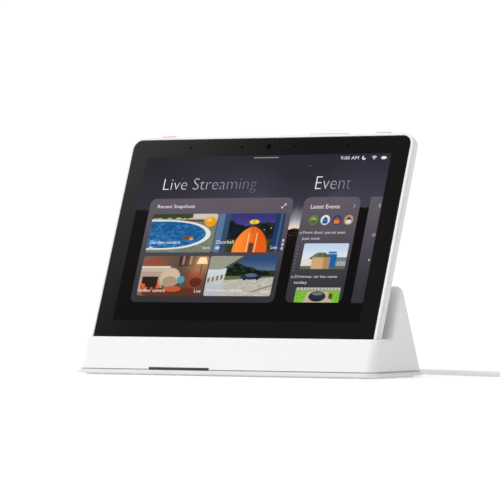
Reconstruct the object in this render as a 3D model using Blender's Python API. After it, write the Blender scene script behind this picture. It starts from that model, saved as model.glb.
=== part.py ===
"""Smart home hub: a tablet display that stands in a wedge-shaped charging dock, with its USB cable.

Metres, +Z up. The origin is the centre of the non-slip pad's underside, -Y is the front and +X is
the right-hand side as a person facing the screen sees it. The tablet is modelled lying face up
(x across the screen, y up the screen, z out of the glass) under the empty tablet_axes, which leans
it back into the dock.
"""

import math

import bmesh
import bpy
from mathutils import Matrix, Vector

MM = 0.001

# Clearances
GAP = 0.3 * MM  # between pieces that rest on or against each other
GLASS_GAP = 0.2 * MM  # round the cover glass
SLIDE_GAP = 0.4 * MM  # round the tablet in its pocket, and round each button

# Tablet
TILT = math.radians(21.6)  # the screen's lean back from upright
SCREEN_WIDTH = 172.3 * MM  # lit area of an 8 inch 16:10 panel
SCREEN_HEIGHT = 107.7 * MM
BEZEL_SIDE = 11.5 * MM
BEZEL_TOP = 11.5 * MM
BEZEL_BOTTOM = 16.0 * MM
GLASS_RADIUS = 5.8 * MM
GLASS_THICKNESS = 0.9 * MM
RIM_WIDTH = 2.0 * MM  # white ring round the glass, seen from the front
RIM_DEPTH = 1.6 * MM  # how far down the side that ring reaches
EDGE_THICKNESS = 8.6 * MM  # the tablet at its edge
BACK_THICKNESS = 14.0 * MM  # the tablet over its raised back
BACK_EDGE_RADIUS = 3.2 * MM
HOUSING_WALL = 1.8 * MM
HOUSING_LIP_WALL = 1.0 * MM  # where the front frame's skirt plugs in
PANEL_BORDER = 3.0 * MM  # panel beyond its lit area
PANEL_THICKNESS = 2.5 * MM
GLASS_LEDGE = 1.2 * MM  # thickness of the front frame's ledge under the glass
RING_EDGE = 0.5 * MM  # softened outer edge of the front frame
RING_CHAMFER = 0.15 * MM
CHASSIS_THICKNESS = 0.9 * MM
CHASSIS_FOOT = 2.0 * MM  # chassis short of the housing's lower wall, over the contacts
SCREW_POST_RADIUS = 2.6 * MM
BACK_SIDE_MARGIN = 12.0 * MM  # raised back's foot, in from the tablet's edges
BACK_TOP_MARGIN = 13.0 * MM
BACK_BOTTOM_MARGIN = 16.0 * MM
BACK_RAMP = 5.0 * MM
BACK_RADIUS = 12.0 * MM
BACK_SOFT_EDGE = 1.2 * MM
HOUSING_SCREW_MARGIN = 6.0 * MM  # screws in from the raised back's flat

# Dock
DOCK_SIDE = 3.7 * MM  # dock beyond each side of the tablet
DOCK_DEPTH = 62.4 * MM
DOCK_WALL = 2.2 * MM
DOCK_CORNER_RADIUS = 6.0 * MM
SHELF_HEIGHT = 22.9 * MM
SHELF_FILLET = 6.0 * MM
LIP_OFFSET = 2.6 * MM  # dock's front face ahead of the glass
BACK_GAP = 0.4 * MM  # between the tablet's back and the support
REAR_LEAN = math.radians(24.2)
RIDGE_RADIUS = 1.4 * MM
RIDGE_CORNER_RADIUS = 6.0 * MM
RIDGE_ROOM = 4.0 * MM  # solid top of the ridge, over the hollow
TOP_FALL = math.radians(7)  # rear face's line beyond the ridge, steeper than the rear face
CONTACT_ROOM = 5.05 * MM  # under the hollow's lowest ceiling, for the contact block
PAD_THICKNESS = 1.3 * MM
PAD_RADIUS = 6.0 * MM
PAD_MARGIN = 6.0 * MM
PAD_PROUD = 0.9 * MM  # pad below the base plate's underside
PLATE_THICKNESS = 2.2 * MM
PLATE_OVERHANG = 1.5 * MM
SEAM = 0.8 * MM  # shadow gap between the base plate and the shell
TONGUE_HEIGHT = 1.6 * MM  # base plate's raised middle, inside the shell

# Status window in the seam
WINDOW_LEFT = -50.9 * MM
WINDOW_RIGHT = -9.0 * MM
WINDOW_HEIGHT = 1.3 * MM
WINDOW_DEPTH = 2.0 * MM
WINDOW_RECESS = 0.15 * MM
LIGHT_BAR_SIZE = (36.0 * MM, 3.0 * MM, 1.2 * MM)

# Inside the dock
BALLAST_SIZE = (62.0 * MM, 22.0 * MM, 3.0 * MM)
BALLAST_X = 47.0 * MM
BALLAST_Y = -10.0 * MM
BOARD_SIZE = (60.0 * MM, 16.0 * MM, 1.2 * MM)
BOARD_Z = 7.0 * MM
SOCKET_SIZE = (9.8 * MM, 7.6 * MM, 4.0 * MM)
SOCKET_MOUTH = (9.0 * MM, 3.2 * MM)
SOCKET_BACK = 0.6 * MM
SOCKET_INSET = 2.1 * MM  # socket's mouth inside the rear face
BOSS_RADIUS = 3.4 * MM
BOSS_INSET = 15.35 * MM  # screw bosses in from the dock's ends
BOSS_FRONT_Y = -8.0 * MM
BOSS_REAR_Y = 17.0 * MM
SCREW_HEAD_RADIUS = 2.4 * MM
SCREW_SHANK_RADIUS = 1.1 * MM
SCREW_HEAD_HEIGHT = 1.4 * MM
BASE_SCREW_LENGTH = 5.5 * MM
HOUSING_SCREW_HEAD = 0.7 * MM
HOUSING_SCREW_LENGTH = 3.4 * MM

# Charging contacts between the dock and the tablet
PIN_COUNT = 4
PIN_PITCH = 3.0 * MM
PIN_RADIUS = 0.5 * MM
PIN_LENGTH = 6.4 * MM
PIN_REACH = 0.5 * MM  # pins into the tablet's contact slot
PAD_RECESS = 0.8 * MM  # contact pads behind the tablet's bottom edge
PIN_TRAVEL = 0.5 * MM
PAD_SIZE = (2.2 * MM, 1.6 * MM, 0.6 * MM)
BLOCK_SIZE = (16.0 * MM, 5.0 * MM)
BLOCK_FLANGE = (20.0 * MM, 7.5 * MM, 1.5 * MM)
BLOCK_RADIUS = 1.0 * MM
PIN_SHOULDER = 1.0 * MM  # pin's wider barrel below the pocket's floor
PIN_BARREL = 0.15 * MM  # barrel beyond the pin's radius
PIN_POINT = 0.3 * MM
STRIP_BORDER = (1.0 * MM, 0.7 * MM)  # contact strip beyond its pads
STRIP_THICKNESS = 1.5 * MM

# Inside the tablet
BAY_MARGIN = 13.65 * MM  # battery and main board in from the raised back's foot
BAY_GAP = 8.0 * MM
BATTERY_FOOT = 18.85 * MM  # battery up from the raised back's lower foot
BATTERY_GAP = 7.5 * MM  # between the battery and the speaker over it
BATTERY_ROOM = 1.9 * MM  # left behind the battery for swelling
BATTERY_RADIUS = 2.0 * MM
MAIN_BOARD_SIZE = (60.0 * MM, 48.0 * MM, 1.0 * MM)
MAIN_BOARD_Y = 8.0 * MM
MAIN_BOARD_RADIUS = 1.5 * MM
SHIELD_SIZE = (34.0 * MM, 28.0 * MM, 2.2 * MM)
SHIELD_OFFSET = (-4.0 * MM, 2.0 * MM)  # from the main board's middle
SHIELD_RADIUS = 1.0 * MM
SPEAKER_LENGTH = 32.0 * MM
SPEAKER_WIDTH = 17.0 * MM
SPEAKER_RADIUS = 2.5 * MM
SPEAKER_ROOM = 1.4 * MM  # between the speakers and the chassis
SPEAKER_SIDE = 33.65 * MM  # speakers' middles in from the raised back's foot
SPEAKER_TOP = 21.35 * MM
SPEAKER_BOTTOM = 22.85 * MM
GRILLE_SLOTS = 7
GRILLE_PITCH = 3.4 * MM
GRILLE_SLOT = (1.2 * MM, 10.0 * MM)
GRILLE_SLOT_RADIUS = 0.55 * MM
GRILLE_REACH = 0.6 * MM  # slots beyond the wall's inner face

# Buttons on the tablet's top edge: middle in from the tablet's side, length and how far each stands proud
BUTTON_THICKNESS = 2.6 * MM
BUTTON_DEPTH = 4.4 * MM  # middle of the buttons behind the glass
ALARM_INSET = 24.05 * MM
ALARM_LENGTH = 11.4 * MM
ALARM_PROUD = 1.8 * MM
ROCKER_INSET = 61.4 * MM
ROCKER_LENGTH = 27.1 * MM
ROCKER_PROUD = 2.0 * MM
POWER_INSET = 23.95 * MM
POWER_LENGTH = 10.8 * MM
POWER_PROUD = 2.2 * MM
BUTTON_TRAVEL = 0.5 * MM
BUTTON_FLANGE = 0.8 * MM
FLANGE_MARGIN = 0.8 * MM  # flange beyond the button's ends
FLANGE_SIDE = 0.4 * MM
BUTTON_EDGE = 0.3 * MM
FLANGE_SEAT = 0.5 * MM  # flange below the housing's wall
BUTTON_STEM = 0.8 * MM
STEM_SIZE = (2.4 * MM, 1.6 * MM)
STEM_LAP = 0.4 * MM  # how far a stem runs into its button
SWITCH_ROOM = 0.2 * MM  # over a switch when its button is fully in
SWITCH_SIZE = (4.2 * MM, 1.6 * MM, 2.6 * MM)
KEY_BOARD_THICKNESS = 0.8 * MM
KEY_BOARD_WIDTH = 3.0 * MM
KEY_BOARD_SHIFT = 0.4 * MM  # key board's middle behind the buttons'
ROCKER_SWITCH_INSET = 1.5 * MM  # its switches in from the rocker's ends

# Camera and microphones in the top bezel
CAMERA_RADIUS = 1.9 * MM
CAMERA_LENGTH = 1.7 * MM
CAMERA_WALL = 0.25 * MM  # between the camera's hole and the panel's opening

# Cable
CABLE_RADIUS = 1.7 * MM
PLUG_SIZE = (12.2 * MM, 16.0 * MM, 6.4 * MM)
PLUG_TONGUE = (8.3 * MM, 6.5 * MM, 2.5 * MM)
RELIEF_LENGTH = 9.0 * MM
RELIEF_RADIUS = 2.5 * MM
PLUG_INSET = 1.5 * MM  # plug's face inside the dock's rear face
PLUG_HOLE_ROOM = 0.5 * MM  # round the plug, in the dock's rear face
PLUG_SOFT_EDGE = 1.0 * MM
COIL_SOFT_EDGE = 0.8 * MM
TABLE_GAP = 0.05 * MM  # cable over the table
FAR_PLUG_LIFT = 0.1 * MM
COIL_CENTRE = (170.0 * MM, 66.1 * MM)
COIL_RADIUS = 18.7 * MM  # middle of the turns
COIL_COLUMNS = 3
COIL_LAYERS = 4
FAR_PLUG_SIZE = (15.4 * MM, 20.0 * MM, 7.6 * MM)
FAR_SHELL_SIZE = (12.0 * MM, 14.0 * MM, 4.5 * MM)
FAR_RELIEF_START = (203.0 * MM, 72.0 * MM)

# Worked out from the sizes above
CABLE_DIAMETER = 2 * CABLE_RADIUS
GLASS_WIDTH = SCREEN_WIDTH + 2 * BEZEL_SIDE
GLASS_HEIGHT = SCREEN_HEIGHT + BEZEL_TOP + BEZEL_BOTTOM
GLASS_Y = (BEZEL_TOP - BEZEL_BOTTOM) / 2
TABLET_WIDTH = GLASS_WIDTH + 2 * RIM_WIDTH
TABLET_HEIGHT = GLASS_HEIGHT + 2 * RIM_WIDTH
TABLET_RADIUS = GLASS_RADIUS + RIM_WIDTH
TABLET_TOP = GLASS_Y + TABLET_HEIGHT / 2
TABLET_BOTTOM = GLASS_Y - TABLET_HEIGHT / 2
DOCK_WIDTH = TABLET_WIDTH + 2 * DOCK_SIDE
SUPPORT_OFFSET = BACK_THICKNESS + BACK_GAP  # support's front face behind the glass
BOSS_X = DOCK_WIDTH / 2 - BOSS_INSET
RAISED_HALF = TABLET_WIDTH / 2 - BACK_SIDE_MARGIN
ALARM_BUTTON = (ALARM_INSET - TABLET_WIDTH / 2, ALARM_LENGTH, ALARM_PROUD)
VOLUME_ROCKER = (TABLET_WIDTH / 2 - ROCKER_INSET, ROCKER_LENGTH, ROCKER_PROUD)
POWER_BUTTON = (TABLET_WIDTH / 2 - POWER_INSET, POWER_LENGTH, POWER_PROUD)
PANEL_BACK = GLASS_THICKNESS + GAP + PANEL_THICKNESS
CHASSIS_BACK = PANEL_BACK + GAP + CHASSIS_THICKNESS
POCKET_FLOOR = TABLET_BOTTOM - GAP
PLATE_BOTTOM = PAD_PROUD
PLATE_TOP = PLATE_BOTTOM + PLATE_THICKNESS
SHELL_FOOT = PLATE_TOP + SEAM
INSIDE_FLOOR = PLATE_TOP + TONGUE_HEIGHT
TABLET_FOOT = (  # height of the tablet's lowest front edge
    INSIDE_FLOOR + CONTACT_ROOM + (GAP + DOCK_WALL) * math.cos(TILT)
    + (EDGE_THICKNESS + SLIDE_GAP + DOCK_WALL) * math.sin(TILT)
)
HOUSING_INSIDE = BACK_THICKNESS - HOUSING_WALL  # inner face of the raised back, behind the glass
SPEAKER_SIZE = (SPEAKER_LENGTH, SPEAKER_WIDTH, HOUSING_INSIDE - GAP - CHASSIS_BACK - SPEAKER_ROOM)
SOCKET_Z = BOARD_Z + BOARD_SIZE[2] + GAP + SOCKET_SIZE[2] / 2
PIN_DEPTH = EDGE_THICKNESS / 2
FLANGE_TOP = TABLET_TOP - HOUSING_WALL - FLANGE_SEAT
KEY_SEAT = FLANGE_TOP - BUTTON_FLANGE - BUTTON_STEM
SWITCH_TOP = KEY_SEAT - BUTTON_TRAVEL - SWITCH_ROOM
KEY_BOARD_TOP = SWITCH_TOP - SWITCH_SIZE[1] - GAP
COIL_WIDTH = COIL_COLUMNS * CABLE_DIAMETER
COIL_HEIGHT = COIL_LAYERS * CABLE_DIAMETER

CORNER_STEPS = 6
ARC_STEPS = 6
ROUND_STEPS = 16
CUTTERS = []


def material(name, colour, roughness, metallic=0.0):
    made = bpy.data.materials.new(name)
    made.use_nodes = True
    shader = made.node_tree.nodes["Principled BSDF"]
    shader.inputs["Base Color"].default_value = (*colour, 1.0)
    shader.inputs["Roughness"].default_value = roughness
    shader.inputs["Metallic"].default_value = metallic
    made.diffuse_color = (*colour, 1.0)
    return made


def clear_scene():
    for obj in list(bpy.data.objects):
        bpy.data.objects.remove(obj, do_unlink=True)


def empty(name, location=(0, 0, 0), rotation=(0, 0, 0), parent=None):
    made = bpy.data.objects.new(name, None)
    bpy.context.scene.collection.objects.link(made)
    made.location = location
    made.rotation_euler = rotation
    made.parent = parent
    return made


def place(name, mesh, finish=None, parent=None, location=(0, 0, 0), rotation=(0, 0, 0)):
    made = bpy.data.objects.new(name, mesh)
    bpy.context.scene.collection.objects.link(made)
    made.location = location
    made.rotation_euler = rotation
    made.parent = parent
    if finish:
        mesh.materials.append(finish)
    mesh.shade_smooth()
    mesh.set_sharp_from_angle(angle=math.radians(30))
    return made


def mesh_of(name, shape):
    bmesh.ops.recalc_face_normals(shape, faces=shape.faces)
    mesh = bpy.data.meshes.new(name)
    shape.to_mesh(mesh)
    shape.free()
    return mesh


def rounded_outline(width, height, radius, centre=(0, 0), steps=CORNER_STEPS):
    """Anticlockwise points of a rectangle with round corners."""
    points = []
    for corner, (side_x, side_y) in enumerate(((1, 1), (-1, 1), (-1, -1), (1, -1))):
        middle_x = centre[0] + side_x * (width / 2 - radius)
        middle_y = centre[1] + side_y * (height / 2 - radius)
        for step in range(steps + 1):
            angle = math.pi / 2 * (corner + step / steps)
            points.append((middle_x + radius * math.cos(angle), middle_y + radius * math.sin(angle)))
    return points


def level(outline, height):
    return [(x, y, height) for x, y in outline]


def loft(name, sections, ring=False):
    """A closed body through sections with equal numbers of points, capped at both ends or joined up."""
    shape = bmesh.new()
    rows = [[shape.verts.new(point) for point in section] for section in sections]
    count = len(rows[0])
    pairs = list(zip(rows, rows[1:]))
    if ring:
        pairs.append((rows[-1], rows[0]))
    else:
        shape.faces.new(rows[0])
        shape.faces.new(rows[-1])
    for first, second in pairs:
        for i in range(count):
            j = (i + 1) % count
            shape.faces.new((first[i], first[j], second[j], second[i]))
    return mesh_of(name, shape)


def block(name, size, centre=(0, 0, 0), radius=0.0):
    """A box with round corners seen along Z, or square ones where radius is nil."""
    width, depth, height = size
    if radius:
        outline = rounded_outline(width, depth, radius, centre[:2], steps=4)
    else:
        outline = [
            (centre[0] + sx * width / 2, centre[1] + sy * depth / 2)
            for sx, sy in ((1, 1), (-1, 1), (-1, -1), (1, -1))
        ]
    low, high = centre[2] - height / 2, centre[2] + height / 2
    return loft(name, [level(outline, low), level(outline, high)])


def turned(name, profile, steps=ROUND_STEPS):
    """A body turned about Z from (radius, height) points that run top to bottom, both on the axis."""
    shape = bmesh.new()
    top = shape.verts.new((0, 0, profile[0][1]))
    bottom = shape.verts.new((0, 0, profile[-1][1]))
    rows = [
        [
            shape.verts.new((r * math.cos(math.tau * i / steps), r * math.sin(math.tau * i / steps), z))
            for i in range(steps)
        ]
        for r, z in profile[1:-1]
    ]
    for i in range(steps):
        j = (i + 1) % steps
        shape.faces.new((top, rows[0][i], rows[0][j]))
        shape.faces.new((bottom, rows[-1][j], rows[-1][i]))
        for first, second in zip(rows, rows[1:]):
            shape.faces.new((first[i], second[i], second[j], first[j]))
    return mesh_of(name, shape)


def tube_body(name, outer, inner, height):
    """A round sleeve from 0 up to height."""
    circle = [math.tau * i / ROUND_STEPS for i in range(ROUND_STEPS)]
    rows = [
        [(r * math.cos(a), r * math.sin(a), z) for a in circle]
        for r, z in ((inner, 0), (outer, 0), (outer, height), (inner, height))
    ]
    return loft(name, rows, ring=True)


def rounded_path(corners):
    """Points of an open line whose corners, given as (a, b, radius), are turned into arcs."""
    points = []
    for index, (a, b, radius) in enumerate(corners):
        if not radius:
            points.append((a, b))
            continue
        here = Vector((a, b))
        before = (Vector(corners[index - 1][:2]) - here).normalized()
        after = (Vector(corners[index + 1][:2]) - here).normalized()
        half = before.angle(after) / 2
        middle = here + (before + after).normalized() * radius / math.sin(half)
        start = here + before * radius / math.tan(half) - middle
        end = here + after * radius / math.tan(half) - middle
        turn = start.angle_signed(end)
        for step in range(ARC_STEPS + 1):
            angle = -turn * step / ARC_STEPS
            spoke = (
                start.x * math.cos(angle) - start.y * math.sin(angle),
                start.x * math.sin(angle) + start.y * math.cos(angle),
            )
            points.append((middle.x + spoke[0], middle.y + spoke[1]))
    return points


def prism_along_x(name, outline, width):
    """An outline of (y, z) points drawn out to both sides of X = 0."""
    return loft(name, [[(x, y, z) for y, z in outline] for x in (-width / 2, width / 2)])


def prism_along_y(name, outline, low, high):
    return loft(name, [[(x, y, z) for x, z in outline] for y in (low, high)])


def boolean(target, cutter_mesh, operation="DIFFERENCE", parent=None, location=(0, 0, 0)):
    cutter = place(f"cutter_{len(CUTTERS)}_{target.name}", cutter_mesh, None, parent, location)
    cutter.hide_render = True
    cutter.display_type = "WIRE"
    CUTTERS.append(cutter)
    modifier = target.modifiers.new(cutter.name, "BOOLEAN")
    modifier.operation = operation
    modifier.solver = "EXACT"
    modifier.object = cutter
    return modifier


# ---------------------------------------------------------------- the dock


def front_y(height, inset=0.0):
    """Y of the dock's front face, which leans back as the screen does."""
    return -DOCK_DEPTH / 2 + (height - SHELL_FOOT) * math.tan(TILT) + inset / math.cos(TILT)


def rear_y(height, inset=0.0):
    return DOCK_DEPTH / 2 - (height - SHELL_FOOT) * math.tan(REAR_LEAN) - inset / math.cos(REAR_LEAN)


def glass_y(height, depth=0.0):
    """Y at this height of the plane that lies depth behind the cover glass's face."""
    return front_y(height, LIP_OFFSET + depth)


def ridge_corner(inset=0.0):
    """(y, z) where the support's front face and the rear face would meet."""
    spread = rear_y(SHELL_FOOT, inset) - glass_y(SHELL_FOOT, SUPPORT_OFFSET + inset)
    height = SHELL_FOOT + spread / (math.tan(TILT) + math.tan(REAR_LEAN))
    return rear_y(height, inset), height


def dock_section(height, inset=0.0, radius=DOCK_CORNER_RADIUS):
    near, far = front_y(height, inset), rear_y(height, inset)
    outline = rounded_outline(DOCK_WIDTH - 2 * inset, far - near, radius, (0, (near + far) / 2))
    return level(outline, height)


def dock_block(name, low, inset=0.0, radius=DOCK_CORNER_RADIUS):
    """The dock's leaning front, rear and sides, without its top."""
    top = ridge_corner()[1] + 2 * MM
    return loft(name, [dock_section(low, inset, radius), dock_section(top, inset, radius)])


def top_cutter_outline(inset=0.0):
    """(y, z) outline of what the dock's top leaves standing: lip, shelf, support and ridge."""
    reach = DOCK_DEPTH
    shelf = SHELF_HEIGHT - inset
    depth = SUPPORT_OFFSET + inset
    ridge_y, ridge_z = ridge_corner(inset)
    slope = math.tan(REAR_LEAN + TOP_FALL)
    path = rounded_path([
        (-reach, shelf, 0),
        (glass_y(shelf, depth), shelf, SHELF_FILLET + inset),
        (ridge_y, ridge_z, max(RIDGE_RADIUS - inset, 0.4 * MM)),
        (reach, ridge_z - (reach - ridge_y) / slope, 0),
    ])
    low = SHELL_FOOT - 20 * MM
    foot = min(low, path[-1][1]) - 5 * MM
    return path + [(reach, foot), (-reach, foot)]


def pocket_mesh(name, clearance, reach, floor):
    """The space that the tablet's lower edge drops into, in tablet axes."""
    width = TABLET_WIDTH + 2 * clearance
    depth = EDGE_THICKNESS + 2 * clearance
    low, high = floor, TABLET_BOTTOM + reach
    middle = -(EDGE_THICKNESS / 2)
    return block(name, (width, high - low, depth), (0, (low + high) / 2, middle))


def inner_outline():
    """(y, z) outline of the dock's hollow: low under the pocket, tall inside the support."""
    wall = DOCK_WALL
    low = hollow_ceiling()
    pocket_high_z = SHELF_HEIGHT - wall
    behind = EDGE_THICKNESS + SLIDE_GAP + wall
    ridge_z = ridge_corner(wall)[1]
    reach = DOCK_DEPTH
    foot = SHELL_FOOT - 20 * MM
    return [
        (-reach, low),
        (glass_y(low, behind), low),
        (glass_y(pocket_high_z, behind), pocket_high_z),
        (glass_y(pocket_high_z, SUPPORT_OFFSET + wall) + SHELF_FILLET / 2, pocket_high_z),
        (glass_y(pocket_high_z + SHELF_FILLET, SUPPORT_OFFSET + wall), pocket_high_z + SHELF_FILLET),
        (glass_y(ridge_z - RIDGE_ROOM, SUPPORT_OFFSET + wall), ridge_z - RIDGE_ROOM),
        (reach, ridge_z - RIDGE_ROOM),
        (reach, foot),
        (-reach, foot),
    ]


def tablet_point(x, y, z):
    """World place of a point given in tablet axes."""
    foot_y = glass_y(TABLET_FOOT)
    along = y - TABLET_BOTTOM
    return Vector((
        x,
        foot_y + along * math.sin(TILT) - z * math.cos(TILT),
        TABLET_FOOT + along * math.cos(TILT) + z * math.sin(TILT),
    ))


def ridge_ends_mesh():
    """What rounding the support's two upper corners takes away, as one outline seen from the front."""
    top = ridge_corner()[1] + 10 * MM
    peak = ridge_top()
    half = DOCK_WIDTH / 2
    radius = RIDGE_CORNER_RADIUS
    wide = half + 10 * MM
    arc = [
        (half - radius + radius * math.sin(a), peak - radius + radius * math.cos(a))
        for a in (math.pi / 2 * step / ARC_STEPS for step in range(ARC_STEPS + 1))
    ]
    right = [(half - 3 * radius, top), (half - 3 * radius, peak + 2 * MM)] + arc
    right += [(half, peak - 2 * radius), (wide, peak - 2 * radius), (wide, top)]
    return right


def ridge_top():
    """Height of the rounded ridge's highest line."""
    half = (TILT + REAR_LEAN) / 2
    ridge_z = ridge_corner()[1]
    return ridge_z - RIDGE_RADIUS * (1 / math.sin(half) - 1)


def build_dock_shell(finish, tablet_axes):
    shell = place("dock_shell", dock_block("dock_shell", SHELL_FOOT), finish)
    boolean(shell, prism_along_x("top", top_cutter_outline(), 2 * DOCK_WIDTH), "INTERSECT")
    for side in (1, -1):
        outline = [(side * x, z) for x, z in ridge_ends_mesh()]
        boolean(shell, prism_along_y("ridge_end", outline, -DOCK_DEPTH, DOCK_DEPTH))
    hollow = place(
        "cutter_hollow",
        dock_block("hollow", SHELL_FOOT - 5 * MM, DOCK_WALL, DOCK_CORNER_RADIUS - DOCK_WALL),
    )
    hollow.hide_render = True
    hollow.display_type = "WIRE"
    boolean(hollow, prism_along_x("hollow_top", inner_outline(), 2 * DOCK_WIDTH), "INTERSECT")
    for x, y in boss_places():
        sleeve = tube_body("boss", BOSS_RADIUS, SCREW_SHANK_RADIUS + GAP, ridge_corner()[1])
        boolean(hollow, sleeve, location=(x, y, INSIDE_FLOOR + GAP))
    cut = shell.modifiers.new("hollow", "BOOLEAN")
    cut.operation = "DIFFERENCE"
    cut.solver = "EXACT"
    cut.object = hollow
    reach = 40 * MM
    boolean(shell, pocket_mesh("pocket", SLIDE_GAP, reach, POCKET_FLOOR), parent=tablet_axes)
    width, depth = BLOCK_SIZE
    mouth = block("contact_mouth", (width + 2 * GAP, 16 * MM, depth + 2 * GAP), (0, POCKET_FLOOR, -PIN_DEPTH))
    boolean(shell, mouth, parent=tablet_axes)
    room = 2 * PLUG_HOLE_ROOM
    hole = (PLUG_SIZE[0] + room, DOCK_DEPTH / 3, PLUG_SIZE[2] + room)
    boolean(shell, block("plug_hole", hole, (0, rear_y(SOCKET_Z), SOCKET_Z)))
    window = (WINDOW_RIGHT - WINDOW_LEFT + 2 * GAP, 12 * MM, WINDOW_HEIGHT + 2 * GAP)
    middle = ((WINDOW_LEFT + WINDOW_RIGHT) / 2, front_y(SHELL_FOOT), window_z())
    boolean(shell, block("window_slot", window, middle))
    return shell


def window_z():
    return PLATE_TOP + GAP + WINDOW_HEIGHT / 2


def hollow_ceiling():
    """Height of the low ceiling in the dock's hollow, under the tablet's pocket."""
    depth = EDGE_THICKNESS + SLIDE_GAP + DOCK_WALL
    return tablet_point(0, POCKET_FLOOR - DOCK_WALL, -depth).z


def build_base_plate(finish):
    width, depth = DOCK_WIDTH + 2 * PLATE_OVERHANG, DOCK_DEPTH + 2 * PLATE_OVERHANG
    radius = DOCK_CORNER_RADIUS + PLATE_OVERHANG
    half = PLATE_THICKNESS / 2
    edge = []
    for step in range(5):
        angle = math.pi * (step / 4 - 0.5)
        inset = half * (1 - math.cos(angle)) * 0.7
        outline = rounded_outline(width - 2 * inset, depth - 2 * inset, radius - inset)
        edge.append(level(outline, PLATE_BOTTOM + half + half * math.sin(angle)))
    inset = DOCK_WALL + GAP
    near, far = front_y(INSIDE_FLOOR, inset), rear_y(INSIDE_FLOOR, inset)
    tongue = rounded_outline(
        DOCK_WIDTH - 2 * inset, far - near, DOCK_CORNER_RADIUS - inset, (0, (near + far) / 2)
    )
    edge += [level(tongue, PLATE_TOP), level(tongue, INSIDE_FLOOR)]
    plate = place("base_plate", loft("base_plate", edge), finish)
    width, depth = pad_size(GAP)
    recess = PAD_THICKNESS - PAD_PROUD + GAP
    boolean(plate, block("pad_recess", (width, depth, 2 * recess), (0, 0, PLATE_BOTTOM), PAD_RADIUS))
    for x, y in boss_places():
        hole = turned("screw_hole", [
            (0, INSIDE_FLOOR + 2 * MM),
            (SCREW_SHANK_RADIUS + GAP, INSIDE_FLOOR + 2 * MM),
            (SCREW_SHANK_RADIUS + GAP, base_screw_seat() + SCREW_HEAD_HEIGHT + GAP),
            (SCREW_HEAD_RADIUS + GAP, base_screw_seat() + SCREW_HEAD_HEIGHT + GAP),
            (SCREW_HEAD_RADIUS + GAP, 0),
            (0, 0),
        ])
        boolean(plate, hole, location=(x, y, 0))
    return plate


def pad_size(grown=0.0):
    width = DOCK_WIDTH + 2 * (PLATE_OVERHANG - PAD_MARGIN + grown)
    depth = DOCK_DEPTH + 2 * (PLATE_OVERHANG - PAD_MARGIN + grown)
    return width, depth


def build_base_pad(finish):
    width, depth = pad_size()
    mesh = block("base_pad", (width, depth, PAD_THICKNESS), (0, 0, PAD_THICKNESS / 2), PAD_RADIUS)
    return place("base_pad", mesh, finish)


def boss_places():
    return [(x, y) for x in (-BOSS_X, BOSS_X) for y in (BOSS_FRONT_Y, BOSS_REAR_Y)]


def base_screw_seat():
    return PAD_THICKNESS + 2 * GAP


def build_base_screws(finish):
    seat = base_screw_seat()
    profile = [
        (0, seat + SCREW_HEAD_HEIGHT + BASE_SCREW_LENGTH),
        (SCREW_SHANK_RADIUS, seat + SCREW_HEAD_HEIGHT + BASE_SCREW_LENGTH),
        (SCREW_SHANK_RADIUS, seat + SCREW_HEAD_HEIGHT),
        (SCREW_HEAD_RADIUS, seat + SCREW_HEAD_HEIGHT),
        (SCREW_HEAD_RADIUS, seat),
        (0, seat),
    ]
    for number, (x, y) in enumerate(boss_places(), 1):
        place(f"base_screw_{number}", turned("base_screw", profile, 12), finish, location=(x, y, 0))


def build_status_light(window_finish, light_finish):
    length = WINDOW_RIGHT - WINDOW_LEFT
    middle = (WINDOW_LEFT + WINDOW_RIGHT) / 2
    face = front_y(window_z()) + WINDOW_RECESS
    mesh = block("status_window", (length, WINDOW_DEPTH, WINDOW_HEIGHT))
    place("status_window", mesh, window_finish, location=(middle, face + WINDOW_DEPTH / 2, window_z()))
    wide, deep, tall = LIGHT_BAR_SIZE
    height = INSIDE_FLOOR + GAP + tall / 2
    rear = front_y(height, DOCK_WALL) + GAP + deep / 2
    place("status_light", block("status_light", LIGHT_BAR_SIZE), light_finish,
          location=(middle, rear, height))


def build_ballast(finish):
    for side, name in ((-1, "ballast_left"), (1, "ballast_right")):
        mesh = block(name, BALLAST_SIZE, radius=2 * MM)
        height = INSIDE_FLOOR + GAP + BALLAST_SIZE[2] / 2
        place(name, mesh, finish, location=(side * BALLAST_X, BALLAST_Y, height))


def socket_mouth_y():
    return rear_y(SOCKET_Z) - SOCKET_INSET


def build_dock_board(board_finish, metal):
    rear = socket_mouth_y()
    centre = (0, rear - BOARD_SIZE[1] / 2, BOARD_Z + BOARD_SIZE[2] / 2)
    place("dock_board", block("dock_board", BOARD_SIZE, radius=1 * MM), board_finish, location=centre)
    mesh = block("usb_socket", SOCKET_SIZE)
    socket = place("usb_socket", mesh, metal, location=(0, rear - SOCKET_SIZE[1] / 2, SOCKET_Z))
    deep = SOCKET_SIZE[1] - SOCKET_BACK
    inside = (SOCKET_MOUTH[0], 2 * deep, SOCKET_MOUTH[1])
    boolean(socket, block("socket_mouth", inside), location=(0, rear, SOCKET_Z))


def pin_places():
    return [(i - (PIN_COUNT - 1) / 2) * PIN_PITCH for i in range(PIN_COUNT)]


def block_flange_top():
    """How far up the tablet's axis the contact block's flange may reach under the dock's ceiling."""
    near = PIN_DEPTH - BLOCK_FLANGE[1] / 2
    room = hollow_ceiling() - GAP - TABLET_FOOT + near * math.sin(TILT)
    return TABLET_BOTTOM + room / math.cos(TILT)


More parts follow.
